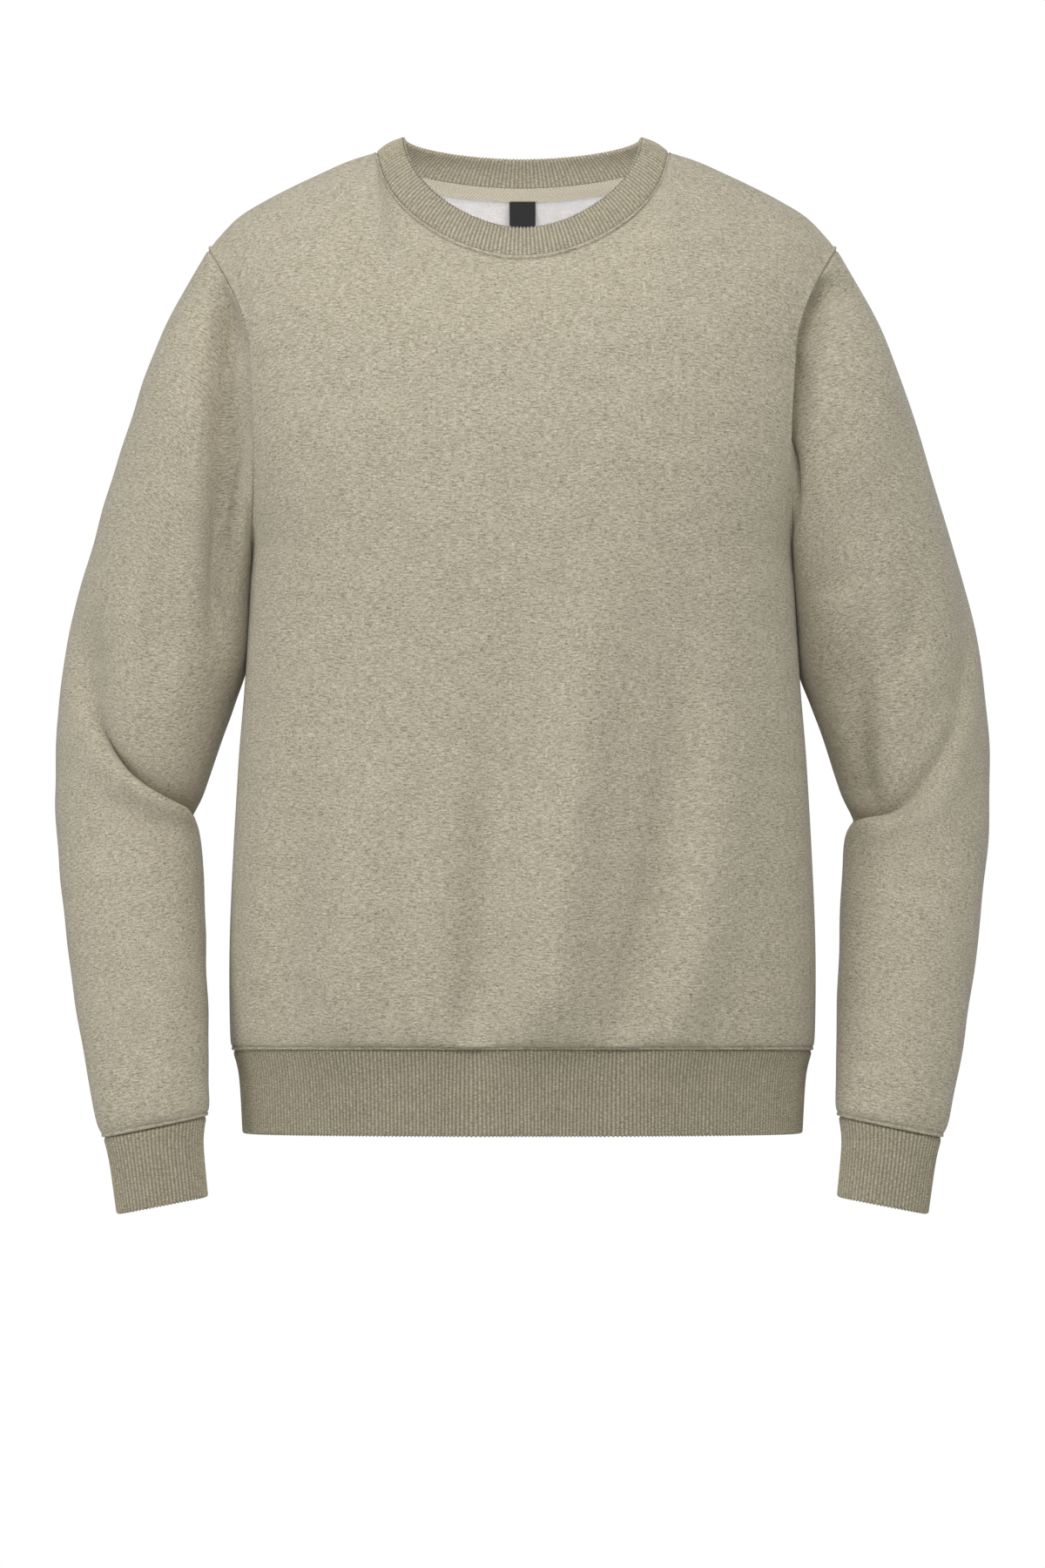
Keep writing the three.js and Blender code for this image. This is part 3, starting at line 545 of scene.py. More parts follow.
def panel(sections, facing, folds, seed):
    """A whole panel: body sections, armhole sections and yoke, with its folds and slow ripples
    along its normals."""
    across = facing * ACROSS
    levels = np.concatenate([BODY_LEVELS, ARMHOLE_LEVELS])
    body = ease_level(section(sections, levels[:, None], across[None, :]), across, levels)
    grid = np.concatenate([body, yoke(sections, facing, across, YOKE_SHARES, STRIP_STEPS)])
    calm = ease((1 - np.abs(across)) / SIDE_CALM)
    x, z = grid[..., 0], grid[..., 2]
    relief = calm * fold_relief(folds, grid) * mix(HEM_SHARE, 1, ease((z - HEM_LEVEL) / HEM_FADE))
    wave = BODY_RIPPLES
    seen = ease((z - wave["low"]) / wave["fade"]) * ease((wave["high"] - z) / wave["fade"])
    relief = relief + calm * seen * ripples(x, z, seed, wave["size"], RIPPLE_HEIGHT)
    out = normals_of(grid, False)
    # Near the hem the folds only move in and out, so that the seam stays level.
    level = out * points(1, 1, ease((z - SEAM_CALM["level"]) / SEAM_CALM["fade"]))
    return grid + level * relief[..., None], out, grid[0]


grids, normals, plain_hems = {}, {}, {}
for name, sections, facing, folds, seed in (
    ("front", FRONT_SECTIONS, 1, FRONT_FOLDS, 3),
    ("back", BACK_SECTIONS, -1, BACK_FOLDS, 4),
):
    grids[name], normals[name], plain_hems[name] = panel(sections, facing, folds, seed)
print("panel grid", grids["front"].shape)

# %% [markdown]
# ## The sleeves
#
# A sleeve is one cut, sewn into a tube. Its first ring is the armhole itself, so that the
# two edges meet stitch by stitch, and from there the rings turn from the slant of the
# armhole to the level of the wrist. The arm hangs a little behind the body at the elbow and
# comes forward at the hand.
#
# The rings could be swept along a bone with a Curve object. A list of rings is used because
# each one is then free to slant, flatten and bend to follow the elbow's crease.

# %% Rings and columns of a sleeve
ARM_POWER = 0.8
CREASE_ZONE = 0.52
NEAR_CREASE = np.array([
    0, 0.012, 0.025, 0.04, 0.057, 0.077, 0.1, 0.13, 0.165, 0.21, 0.265, 0.33, 0.4, 0.48,
])
NEAR_ARMHOLE = [0, 0.01, 0.025, 0.045, 0.07, 0.1, 0.14, 0.19]
NEAR_CUFF = 12 + np.array([0.12, 0.24, 0.36, 0.46, 0.56, 0.66, 0.76, 0.84, 0.9, 0.95, 1.0])
LONG_RUNS = [np.linspace(*run) for run in ((0.25, 3, 46), (3, 8, 86), (8, 11, 46), (11, 12, 12))]
LEVELS = np.concatenate([NEAR_ARMHOLE, *LONG_RUNS, NEAR_CUFF])
LEVELS = LEVELS[np.abs(LEVELS - CREASE["row"]) > CREASE_ZONE]
LEVELS = np.concatenate([LEVELS, CREASE["row"] - NEAR_CREASE, CREASE["row"] + NEAR_CREASE])
SLEEVE_LEVELS = np.unique(np.round(LEVELS, 6))
CREASE_ROW = int(np.argmin(np.abs(SLEEVE_LEVELS - CREASE["row"])))
# The place of each column round the sleeve, in cells from the outer edge: it starts at the
# seam under the arm, at 10, goes up the back to the outer edge, at 20 or 0, and down the front.
CELLS_ROUND = 2 * CELLS_ABOVE_UNDERARM
ROUND = CELLS_ABOVE_UNDERARM + np.concatenate([ARMHOLE_CELLS, -ARMHOLE_CELLS[-2:0:-1]])
TURN = ROUND / CELLS_ABOVE_UNDERARM * math.pi


def arm_ring(row, side):
    """An ellipse from a section's outer edge to its inner one, slanted with them, with its own
    depth. The depth goes as a power of the sine, which flattens the front and the back."""
    half = (1 + np.cos(TURN)) / 2
    return points(
        side * mix(row["innerX"], row["outerX"], half),
        row["midY"] - powered(np.sin(TURN), ARM_POWER) * row["depth"] / 2,
        mix(row["innerZ"], row["outerZ"], half),
    )


def through(rings, levels):
    """Points on smooth curves through a list of rings, at levels counted in rings. The slope at a
    ring is half the step from its last neighbour to its next."""
    rings = np.asarray(rings)
    last, columns = len(rings) - 1, np.arange(rings.shape[1])
    levels = np.asarray(levels)
    levels = levels[:, None] if levels.ndim == 1 else levels
    i = np.clip(np.floor(levels).astype(int), 0, last - 1)
    a, b, c, d = (rings[k, columns] for k in (np.maximum(i - 1, 0), i, i + 1, np.minimum(i + 2, last)))
    return hermite(b, (c - a) / 2, c, (d - b) / 2, (levels - i)[..., None])


def in_order(rows, side):
    """The wearer's right sleeve runs round the other way, so that its faces turn outwards too."""
    return rows if side > 0 else np.concatenate([rows[..., :1, :], rows[..., :0:-1, :]], axis=-2)


print(len(SLEEVE_LEVELS), "rings of", len(ROUND), "points, the crease at ring", CREASE_ROW)


# %% Elbow crease and tuck
def elbow_crease(grid, strength, sharp, lip):
    """The crease's height, its lap and its nearness, from the distance to its row, counted down the
    arm. The upper arm's cloth sinks towards it as an exponential does, and more steeply into a
    pocket at the end. Past it the cloth rises, steeply where it is sharp, to a lip that fades as a
    bell curve does and leans back over the pocket. Where it is soft, the distance is rounded as a
    hyperbola, so that the bottom is round."""
    along, ring = lengths_along(grid, 0), grid[CREASE_ROW]
    row = unit(np.roll(ring, -1, 0) - np.roll(ring, 1, 0))
    down = unit(grid[CREASE_ROW + 1] - ring)
    d = (along - along[CREASE_ROW]) * np.linalg.norm(np.cross(row, down), axis=-1)
    soft = CREASE["round"] * (1 - sharp)
    away = np.sqrt(d**2 + soft**2) - soft
    after = 1 - np.exp(-away / mix(CREASE["soft_riser"], CREASE["riser"], sharp))
    lip = lip * np.exp(-((d / CREASE["spread"]) ** 2))
    sunk = CREASE["dip"] * np.exp(-away / CREASE["reach"])
    sunk = sunk + sharp * CREASE["pocket"] * np.exp(-away / CREASE["pocket_reach"])
    height = np.where(d < 0, -sunk, mix(-CREASE["dip"] - sharp * CREASE["pocket"], lip, after))
    lap = CREASE["lap"] * np.exp(-(((d - CREASE["lap_place"]) / CREASE["lap_width"]) ** 2)) * (d > 0)
    nearness = np.exp(-((d / CREASE["near"]) ** 2))
    return height * strength, (lap * strength * sharp**2)[..., None] * down, nearness[..., None]


def tuck(shape, along, z):
    """The dip beside the armhole seam. Against the distance from the seam in reaches, d, it goes as
    d times the exponential of one less d, so it is deepest at one reach."""
    d = along / shape["reach"]
    window = ease((shape["top"] - z) / (shape["top"] - shape["full"]))
    window = window * ease((z - TUCK_FOOT["level"]) / TUCK_FOOT["fade"])
    return -shape["depth"] * d * np.exp(1 - d) * window


print("a tuck one reach from the seam", round(float(tuck(TUCKS[1, 1], 8, -150)), 1), "mm")

# %% Sleeve grids
# Counted in rings: where the bend towards the crease starts and ends, where the ripples start
# and over how many rings everything fades out above the cuff. In millimetres: where the folds
# start beside the armhole, the size of the ripples and the swell's height.
BEND_START = 0.15
BEND_END = 2.5
RIPPLE_START = 0.7
FOLD_START = 9
FADE_OUT = 2
SLEEVE_RIPPLES = 60
SWELL = dict(height=2.4, level=1, width=0.8, start=0.4)


def crease_bend(rings):
    """How far each ring bends towards the crease: fully at the crease's ring, and less and less
    away from it."""
    above = SLEEVE_LEVELS / CREASE["row"]
    below = (rings - BEND_END - SLEEVE_LEVELS) / (rings - BEND_END - CREASE["row"])
    return ease((above - BEND_START) / (1 - BEND_START)) * (above <= 1) + ease(below) * (above > 1)


def sleeve(side):
    """Rings from the armhole to the cuff seam. The rows bend to run along the crease, then come its
    relief, the folds of the front half and the back half, and slow ripples."""
    front, back = (grids[name][FIRST_ARMHOLE_ROW:] for name in ("front", "back"))
    up = back[:, 0 if side > 0 else -1]
    down = front[::-1, -1 if side > 0 else 0]
    rings = [np.concatenate([up, down[1:-1]])] + [arm_ring(row, side) for row in SLEEVE_SECTIONS]
    place = np.minimum(ROUND, CELLS_ROUND - ROUND) / 2
    crease = {name: read(ELBOW_CREASE[side][name], place) for name in ELBOW_CREASE[side].dtype.names}
    bend = crease_bend(len(rings))[:, None]
    levels = SLEEVE_LEVELS[:, None] + bend * (crease["level"] - CREASE["row"])
    grid = through(rings, levels)
    x, y, z = np.moveaxis(grid, -1, 0)
    out = side * normals_of(grid, True)
    facing = np.sin(TURN)
    strength = crease["strength"] * np.where(facing > -1e-9, 1, ease(1 + facing / 0.5))
    height, lap, near_crease = elbow_crease(grid, strength, np.clip(crease["sharp"], 0, 1), crease["lip"])
    # Under the arm the sleeve swells against the side, so that no light shows between them.
    under_arm = ease(levels / SWELL["start"]) * ease(-np.cos(TURN) * 2 - 1)
    bell = np.exp(-(((levels - SWELL["level"]) / SWELL["width"]) ** 2))
    height = height + SWELL["height"] * bell * under_arm
    along = lengths_along(grid, 0)
    before_cuff = ease((len(rings) - 1 - levels) / FADE_OUT)
    relief = height
    for face in (1, -1):
        folded = before_cuff * ease(along / FOLD_START) * ease(np.abs(facing) / 0.45)
        folded = folded * fold_relief(SLEEVE_FOLDS[side, face], grid)
        tucked = ease(np.abs(facing) / 0.3) * tuck(TUCKS[side, face], along, z)
        relief = relief + (facing * face > 0) * (folded + tucked)
    past_seam = ease(levels / RIPPLE_START)
    relief = relief + past_seam * before_cuff * ripples(x + y, z, 7 + side, SLEEVE_RIPPLES, RIPPLE_HEIGHT)
    grid = grid + out * relief[..., None] - lap
    # The wall keeps its thickness round the crease, where the cloth stands steep.
    out = unit(mix(out, side * normals_of(grid, True), near_crease * past_seam[..., None]))
    return in_order(grid, side), in_order(out, side)


for name, side in (("sleeve_left", 1), ("sleeve_right", -1)):
    grids[name], normals[name] = sleeve(side)
print("sleeve grid", grids["sleeve_left"].shape)

# %% [markdown]
# ## The rib bands
#
# Neckband, waistband and cuffs are strips of rib knit, folded along their length and sewn
# on by both raw edges, so each has a seam on one side and a soft fold on the other. Rib
# stretches, so a band draws in from its seam. First comes the outer surface of each band,
# with the same columns as the cloth it is sewn to, so that no gap can open between them.

# %% Band grids
# The waistband's rings: height, how far each is set in, and how much of the folds has faded.
WAISTBAND_LEVELS = ((-671.0, 4.5, 0.5), (-711.5, 7.0, 0.85))
NECKBAND_TOP = dict(half=86.0, side=13.0, front=(-59.0, -54.5), back=(50.0, 0.0))
NECKBAND_CROWN = 1.5
BAND_LEVELS = np.unique(np.concatenate([[0, 0.03, 0.07, 0.12, 0.2, 0.3], np.linspace(0.4, 2, 13)]))


def waistband():
    """The waist seam, and two rings below it, each set in towards the body by its own amount. The
    folds that reach the seam fade out down the band."""
    seam = np.concatenate([grids["front"][0], grids["back"][0, 1:-1]])
    plain = np.concatenate([plain_hems["front"], plain_hems["back"][1:-1]])
    plan = np.roll(seam, -1, 0) - np.roll(seam, 1, 0)
    outwards = unit(points(plan[:, 1], -plan[:, 0], 0 * plan[:, 0]))
    rings = [seam]
    for z, inset, calm in WAISTBAND_LEVELS:
        ring = mix(seam, plain, calm) - outwards * inset
        ring[:, 2] = z
        rings.append(ring)
    return through(rings, BAND_LEVELS)


def neckband():
    """The neckline seam, the free edge, and a ring between them that swells a little."""
    front, back = grids["front"][-1][AT_NECK], grids["back"][-1][AT_NECK]
    seam = np.concatenate([front, back[1:-1]])
    turn = ACROSS[AT_NECK] / NECK_SHARE * math.pi / 2
    turns = np.concatenate([turn, math.pi + turn[1:-1]])
    top = neck_points(turns, **NECKBAND_TOP)
    rings = np.array([seam, (seam + top) / 2, top])
    rings[1] += normals_of(rings, True)[1] * NECKBAND_CROWN
    return through(rings, BAND_LEVELS)


def cuff(side):
    """The sleeve's last ring and the two rings of the cuff below it."""
    seam = grids["sleeve_left" if side > 0 else "sleeve_right"][-1]
    rings = [seam] + [in_order(arm_ring(row, side), side) for row in CUFF_SECTIONS]
    return through(rings, BAND_LEVELS)


grids["neckband"] = neckband()
# The waistband runs down from its seam, so its rows are put the other way up to face outwards.
grids["waistband"] = waistband()[::-1]
grids["cuff_left"] = cuff(1)
grids["cuff_right"] = cuff(-1)
print({name: grid.shape[:2] for name, grid in grids.items()})

# %% [markdown]
# ## Seams
#
# Where two cloths are sewn, both edges turn in, so they share one direction at the seam and
# leave a hair of a gap between them. Each side then rolls down into that gap, and
# the turned-in edge inside shows outside as a low ridge, held by a line of stitches.
#
# Joining the meshes would be simpler, but each cut of cloth is a piece of its own here.
# Points that two grids share are found by place, and their directions are averaged.

# %% Shared seam directions
SEAM_GAP = 0.2
# Edge points in the same cube of this size are one point. The shift keeps the cubes' faces
# away from round numbers.
SAME_PLACE = 0.05
SHIFT = 0.137
CLOSED = {name: name not in ("front", "back") for name in grids}
BAND_NAMES = ("neckband", "waistband", "cuff_left", "cuff_right")
normals.update({name: normals_of(grids[name], True) for name in BAND_NAMES})


def edge_places(name):
    """Row and column numbers of a grid's edge points, with half a share for a corner."""
    rows, columns = grids[name].shape[:2]
    r, c = np.indices((rows, columns))
    ends = (r == 0) | (r == rows - 1)
    sides = (c == 0) | (c == columns - 1)
    edge = ends if CLOSED[name] else ends | sides
    share = np.where(ends & sides & (not CLOSED[name]), 0.5, 1.0)
    return r[edge], c[edge], share[edge]


def inwards_of(name, r, c):
    """From an edge point towards the points beside it inside the cloth."""
    grid = grids[name]
    rows, columns = grid.shape[:2]
    row = np.clip(r, 1, rows - 2)
    column = c if CLOSED[name] else np.clip(c, 1, columns - 2)
    return unit(unit(grid[row, c] - grid[r, c]) + unit(grid[r, column] - grid[r, c]))


places = {name: edge_places(name) for name in grids}
stacked = np.concatenate([grids[name][r, c] for name, (r, c, _) in places.items()])
turned = np.concatenate([normals[name][r, c] * share[:, None] for name, (r, c, share) in places.items()])
cubes = np.round(stacked / SAME_PLACE + SHIFT)
_, which, count = np.unique(cubes, axis=0, return_inverse=True, return_counts=True)
which = which.ravel()
shared = np.zeros((len(count), 3))
np.add.at(shared, which, turned)
shared = unit(shared)[which]
joined = count[which] > 1
start = 0
for name, (r, c, _) in places.items():
    here = slice(start, start + len(r))
    start += len(r)
    met = joined[here]
    rows, columns, normal = r[met], c[met], shared[here][met]
    inwards = inwards_of(name, rows, columns)
    inwards = unit(inwards - normal * (inwards * normal).sum(-1, keepdims=True))
    grids[name][rows, columns] += inwards * SEAM_GAP / 2
    normals[name][rows, columns] = normal
print(int(joined.sum()), "edge points share a seam")


# %% [markdown]
# ## Meshes
#
# Every piece becomes a closed thin shell. A plain cloth has its outer grid, its inner grid
# pushed in by the cloth's thickness, and a rim between. The outside takes one cloth and
# the inside another, because the face is smooth and heathered and the back is brushed white.
# A Solidify modifier does much the same, but here the seams' shared directions have to be
# the directions of the wall.

# %% Mesh from arrays
def new_object(name, verts, faces, materials, uv, slots=None, attributes=None):
    """A mesh from arrays: points in millimetres, faces of four corners, cloth coordinates in
    millimetres for each corner of each face, one slot number for each face, and named numbers for
    each point."""
    mesh = bpy.data.meshes.new(name)
    mesh.vertices.add(len(verts))
    mesh.vertices.foreach_set("co", (np.asarray(verts) * MM).astype(np.float32).ravel())
    mesh.loops.add(faces.size)
    mesh.loops.foreach_set("vertex_index", faces.astype(np.int32).ravel())
    mesh.polygons.add(len(faces))
    mesh.polygons.foreach_set("loop_start", np.arange(0, faces.size, faces.shape[1], dtype=np.int32))
    mesh.polygons.foreach_set("use_smooth", np.ones(len(faces), bool))
    if slots is not None:
        mesh.polygons.foreach_set("material_index", slots.astype(np.int32))
    mesh.uv_layers.new(name="cloth").uv.foreach_set("vector", (uv * MM).astype(np.float32).ravel())
    for label, values in (attributes or {}).items():
        layer = mesh.attributes.new(label, "FLOAT", "POINT")
        layer.data.foreach_set("value", values.astype(np.float32).ravel())
    mesh.update(calc_edges=True)
    mesh.validate()
    for material in materials:
        mesh.materials.append(material)
    obj = bpy.data.objects.new(name, mesh)
    bpy.context.scene.collection.objects.link(obj)
    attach(obj, "root")
    return obj


print("every piece rides on the body called root")


# %% Faces of a grid
def cells(ids):
    """The four corners of each cell of a grid of numbers, in the order that faces outwards."""
    return np.stack([ids[:-1, :-1], ids[:-1, 1:], ids[1:, 1:], ids[1:, :-1]], axis=-1).reshape(-1, 4)


def rim(outer, inner):
    """Faces from an outer line of numbers to the inner line beside it."""
    return np.stack([outer[:-1], inner[:-1], inner[1:], outer[1:]], axis=-1)


def numbered(rows, columns, closed, first=0):
    """The numbers of a grid of points. A closed grid has its first column again at its end."""
    ids = np.arange(rows * columns).reshape(rows, columns) + first
    return np.concatenate([ids, ids[:, :1]], axis=1) if closed else ids


open_grid, closed_grid = (len(cells(numbered(3, 4, closed))) for closed in (False, True))
print("a grid of 3 by 4 points has", open_grid, "faces, or", closed_grid, "when it is closed")


# %% Shell maker
SHARP = math.radians(60)


def cloth_uv(grid, closed, from_end=False):
    """Cloth coordinates: the length along each row, from its middle column, and the length along
    each column, from its first row or its last. A tube is cut open at its first column."""
    if closed:
        grid = np.concatenate([grid, grid[:, :1]], axis=1)
    across, along = lengths_along(grid, 1), lengths_along(grid, 0)
    middle = grid.shape[1] // 2
    along = along - along[-1:] if from_end else along
    return np.stack([across - across[:, middle : middle + 1], along], axis=-1)


def shell_faces(outer, inner, closed):
    """Faces between two grids of numbers: the outer cells, the inner ones turned over, and the
    rims."""
    rims = [rim(outer[0], inner[0]), rim(outer[-1, ::-1], inner[-1, ::-1])]
    if not closed:
        rims += [rim(outer[::-1, 0], inner[::-1, 0]), rim(outer[:, -1], inner[:, -1])]
    return [cells(outer), cells(inner)[:, ::-1], np.concatenate(rims)]


def shell(name, grid, normal, thickness, closed, materials, from_end=False):
    """A closed shell of one thickness. Its outside and rims take the first material and its inside
    the second."""
    rows, columns = grid.shape[:2]
    outer, inner = numbered(rows, columns, closed), numbered(rows, columns, closed, rows * columns)
    parts = shell_faces(outer, inner, closed)
    slots = np.repeat([0, 1, 0], [len(part) for part in parts])
    uv = cloth_uv(grid, closed, from_end)
    places = numbered(*uv.shape[:2], False)
    corners = np.concatenate(shell_faces(places, places, closed))
    verts = np.concatenate([grid.reshape(-1, 3), (grid - normal * thickness).reshape(-1, 3)])
    obj = new_object(name, verts, np.concatenate(parts), materials, uv.reshape(-1, 2)[corners], slots)
    obj.data.set_sharp_from_angle(angle=SHARP)
    return obj


print("edges over", round(math.degrees(SHARP)), "degrees stay sharp")

# %% [markdown]
# ## Shader helper
#
# Cloth is mostly fibre, so its colour comes from layered noise in the cloth's own
# coordinates, which are metres along the knit. A photo of cloth would repeat and would not
# follow the pieces. The nodes could be placed by hand, but a small class lets their
# arithmetic be written as arithmetic.

# %% Shader helper
class Signal:
    """A shader socket that can be added, subtracted, multiplied and divided like a number."""

    def __init__(self, cloth, socket):
        self.cloth, self.socket = cloth, socket

    def math(self, operation, *others):
        """One Math node with this socket first."""
        return self.cloth.node("ShaderNodeMath", {"operation": operation}, dict(enumerate([self, *others])))

    def __add__(self, other):
        return self.math("ADD", other)

    __radd__ = __add__

    def __mul__(self, other):
        return self.math("MULTIPLY", other)

    __rmul__ = __mul__

    def __sub__(self, other):
        return self.math("SUBTRACT", other)

    def __rsub__(self, other):
        return (self * -1) + other

    def __truediv__(self, other):
        return self.math("DIVIDE", other)

    def __rtruediv__(self, other):
        return self.cloth.node("ShaderNodeMath", {"operation": "DIVIDE"}, {0: other, 1: self})

    def clamp(self):
        """Held between 0 and 1."""
        return self.cloth.node("ShaderNodeClamp", {}, {"Value": self})


print("signal helper ready")


# %% Cloth helper
class Cloth:
    """A material with one Principled shader, and short ways to add nodes to it."""

    def __init__(self, name, **constants):
        self.material = bpy.data.materials.new(name)
        self.material.use_nodes = True
        self.tree = self.material.node_tree
        self.shader = self.tree.nodes["Principled BSDF"]
        for socket, value in constants.items():
            self.shader.inputs[socket.replace("_", " ")].default_value = value

    def node(self, kind, settings, inputs, output=0):
        """One node: its settings, its inputs by name or number as values or signals, and the output
        that is used."""
        made = self.tree.nodes.new(kind)
        for key, value in settings.items():
            setattr(made, key, value)
        for key, value in inputs.items():
            if isinstance(value, Signal):
                self.tree.links.new(value.socket, made.inputs[key])
            else:
                made.inputs[key].default_value = value
        return Signal(self, made.outputs[output])

    def uv(self):
        """The cloth's own coordinates, in metres."""
        return self.node("ShaderNodeUVMap", {"uv_map": "cloth"}, {})

    def scaled(self, vector, x, y):
        """Coordinates stretched so that one unit is x metres across and y metres along."""
        return self.node("ShaderNodeVectorMath", {"operation": "DIVIDE"}, {0: vector, 1: (x, y, 1)})

    def noise(self, vector, detail=2.0, roughness=0.5, distortion=0.0):
        """Noise from -1 to 1 or so, about 0."""
        inputs = {"Vector": vector, "Scale": 1.0, "Detail": detail}
        inputs.update({"Roughness": roughness, "Distortion": distortion})
        return (self.node("ShaderNodeTexNoise", {"noise_dimensions": "2D"}, inputs) - 0.5) * 2

    def blend(self, factor, a, b):
        """One colour mixed into another."""
        return self.node("ShaderNodeMix", {"data_type": "RGBA"}, {0: factor, 6: a, 7: b}, 2)

    def finish(self, colour, height=None, distance=0.0004, strength=1.0):
        """Links the colour, and a height as bump whose full range is a distance in metres."""
        self.tree.links.new(colour.socket, self.shader.inputs["Base Color"])
        if height is not None:
            inputs = {"Height": height, "Distance": distance, "Strength": strength}
            bump = self.node("ShaderNodeBump", {}, inputs)
            self.tree.links.new(bump.socket, self.shader.inputs["Normal"])
        return self.material


def srgb(red, green, blue):
    """A colour as read on screen, 0 to 255, turned to the linear numbers that a shader takes."""
    c = np.array([red, green, blue]) / 255
    linear = np.where(c <= 0.04045, c / 12.92, ((c + 0.055) / 1.055) ** 2.4)
    return (*[float(v) for v in linear], 1.0)


print("mid grey on screen is", round(srgb(128, 128, 128)[0], 3), "to a shader")

# %% [markdown]
# ## The cloths
#
# Heathered yarn is spun from fibres dyed in several shades, so its colour breaks into short
# streaks that follow the rows of the knit: a few millimetres long, a millimetre high.
# Pale and dark flecks a stitch wide lie over them, and a slow drift of shade under them.
# The rib is the same yarn knitted tighter. Its grooves get painted shade, and each wale shows
# its stitches as small beads. The inside is brushed until the stitches vanish in white pile.
#
# Single stitches could be modelled on cloth this size only with millions of faces. Noise
# stretched along the rows gives the same look, and a bump gives it a surface.

# %% Heathered colour
# Sizes in metres, across and along the cloth, and how much each layer counts for.
STREAK_HEIGHT = 0.24
FLECK = (0.0019, 0.0009)
DRIFT = (0.03, 0.012)
SHARES = dict(streaks=1.05, flecks=0.95, drift=0.15)


def heather(cloth, light, middle, dark, streak, contrast):
    """The colour of heathered knit. Streaks, flecks and drift are added, and the sum chooses
    between three shades."""
    uv = cloth.uv()
    streaks = cloth.noise(cloth.scaled(uv, streak, streak * STREAK_HEIGHT), 3.0, 0.6, 0.4)
    flecks = cloth.noise(cloth.scaled(uv, *FLECK), 2.0, 0.6)
    drift = cloth.noise(cloth.scaled(uv, *DRIFT), 2.0, 0.5)
    tone = streaks * (SHARES["streaks"] * contrast) + flecks * (SHARES["flecks"] * contrast)
    tone = tone + drift * (SHARES["drift"] * contrast)
    shade = cloth.blend(tone.clamp(), middle, light)
    return cloth.blend((tone * -1.0).clamp(), shade, dark), streaks, flecks


def two_shades(cloth, share, low, high):
    """A colour between two others, by a share that is held between 0 and 1."""
    return cloth.blend(share.clamp(), srgb(*low), srgb(*high))


print("streaks", round(STREAK_HEIGHT, 2), "as high as they are long")


# %% Fleece
def fleece_face():
    """The smooth outside of the body and sleeves."""
    fuzz = dict(Sheen_Weight=0.25, Sheen_Roughness=0.5)
    cloth = Cloth("fleece_face", Roughness=0.92, Specular_IOR_Level=0.25, **fuzz)
    shades = srgb(218, 210, 190), srgb(180, 172, 151), srgb(124, 116, 94)
    colour, streaks, flecks = heather(cloth, *shades, streak=0.0052, contrast=1.18)
    wales = cloth.noise(cloth.scaled(cloth.uv(), 0.0009, 0.0007), 1.0, 0.5)
    return cloth.finish(colour, streaks * 0.5 + flecks * 0.5 + wales * 0.6, 0.00035, 0.8)


def fleece_back():
    """The brushed white inside."""
    fuzz = dict(Sheen_Weight=0.5, Sheen_Roughness=0.6)
    cloth = Cloth("fleece_back", Roughness=1.0, Specular_IOR_Level=0.1, **fuzz)
    uv = cloth.uv()
    pile = cloth.noise(cloth.scaled(uv, 0.0022, 0.0022), 4.0, 0.65)
    tufts = cloth.noise(cloth.scaled(uv, 0.009, 0.009), 3.0, 0.6)
    colour = two_shades(cloth, pile * 0.6 + tufts * 0.4 + 0.5, (224, 221, 220), (244, 241, 240))
    return cloth.finish(colour, pile + tufts, 0.0008, 0.7)


FACE, INSIDE = fleece_face(), fleece_back()
print(FACE.name, "outside and", INSIDE.name, "inside")

# %% Rib knit
BEAD_LENGTH = 0.0013
# How strongly the grooves take painted shade, and the colour of that shade.
GROOVE_PAINTED_SHADE_SHARE = 0.68
GROOVE_PAINTED_SHADE = (112, 105, 85)


def rib_knit(name, light, middle, dark):
    """Rib: the heather of the body, with painted shade in the grooves, and a bead at every stitch
    along a wale."""
    fuzz = dict(Sheen_Weight=0.2, Sheen_Roughness=0.5)
    cloth = Cloth(name, Roughness=0.94, Specular_IOR_Level=0.22, **fuzz)
    shades = srgb(*light), srgb(*middle), srgb(*dark)
    colour, _, flecks = heather(cloth, *shades, streak=0.0036, contrast=1.15)
    crest = cloth.node("ShaderNodeAttribute", {"attribute_name": "crest"}, {}, 2)
    rows = cloth.node("ShaderNodeSeparateXYZ", {}, {0: cloth.uv()}, 1)
    beads = (rows * (2 * math.pi / BEAD_LENGTH)).math("SINE") * 0.5 + 0.5
    # Painted shade darkens the grooves between the ribs, where the crest attribute is low.
    colour = cloth.blend(((1 - crest) * GROOVE_PAINTED_SHADE_SHARE).clamp(), colour, srgb(*GROOVE_PAINTED_SHADE))
    return cloth.finish(colour, beads * crest * 0.6 + flecks * 0.4, 0.0004, 0.8)


RIB = rib_knit("rib_knit", (216, 208, 186), (172, 164, 142), (116, 108, 87))
# The neckband takes a paler copy of the rib knit: painted light, for the light that falls on it.
NECK_RIB_PAINTED_LIGHT = rib_knit("rib_knit_neck_painted_light", (227, 219, 197), (184, 176, 154), (127, 119, 98))
print(RIB.name, "and", NECK_RIB_PAINTED_LIGHT.name)

# %% Tape, label and thread
TWILL_PITCH = 0.0024
TWILL_TURN = 0.005


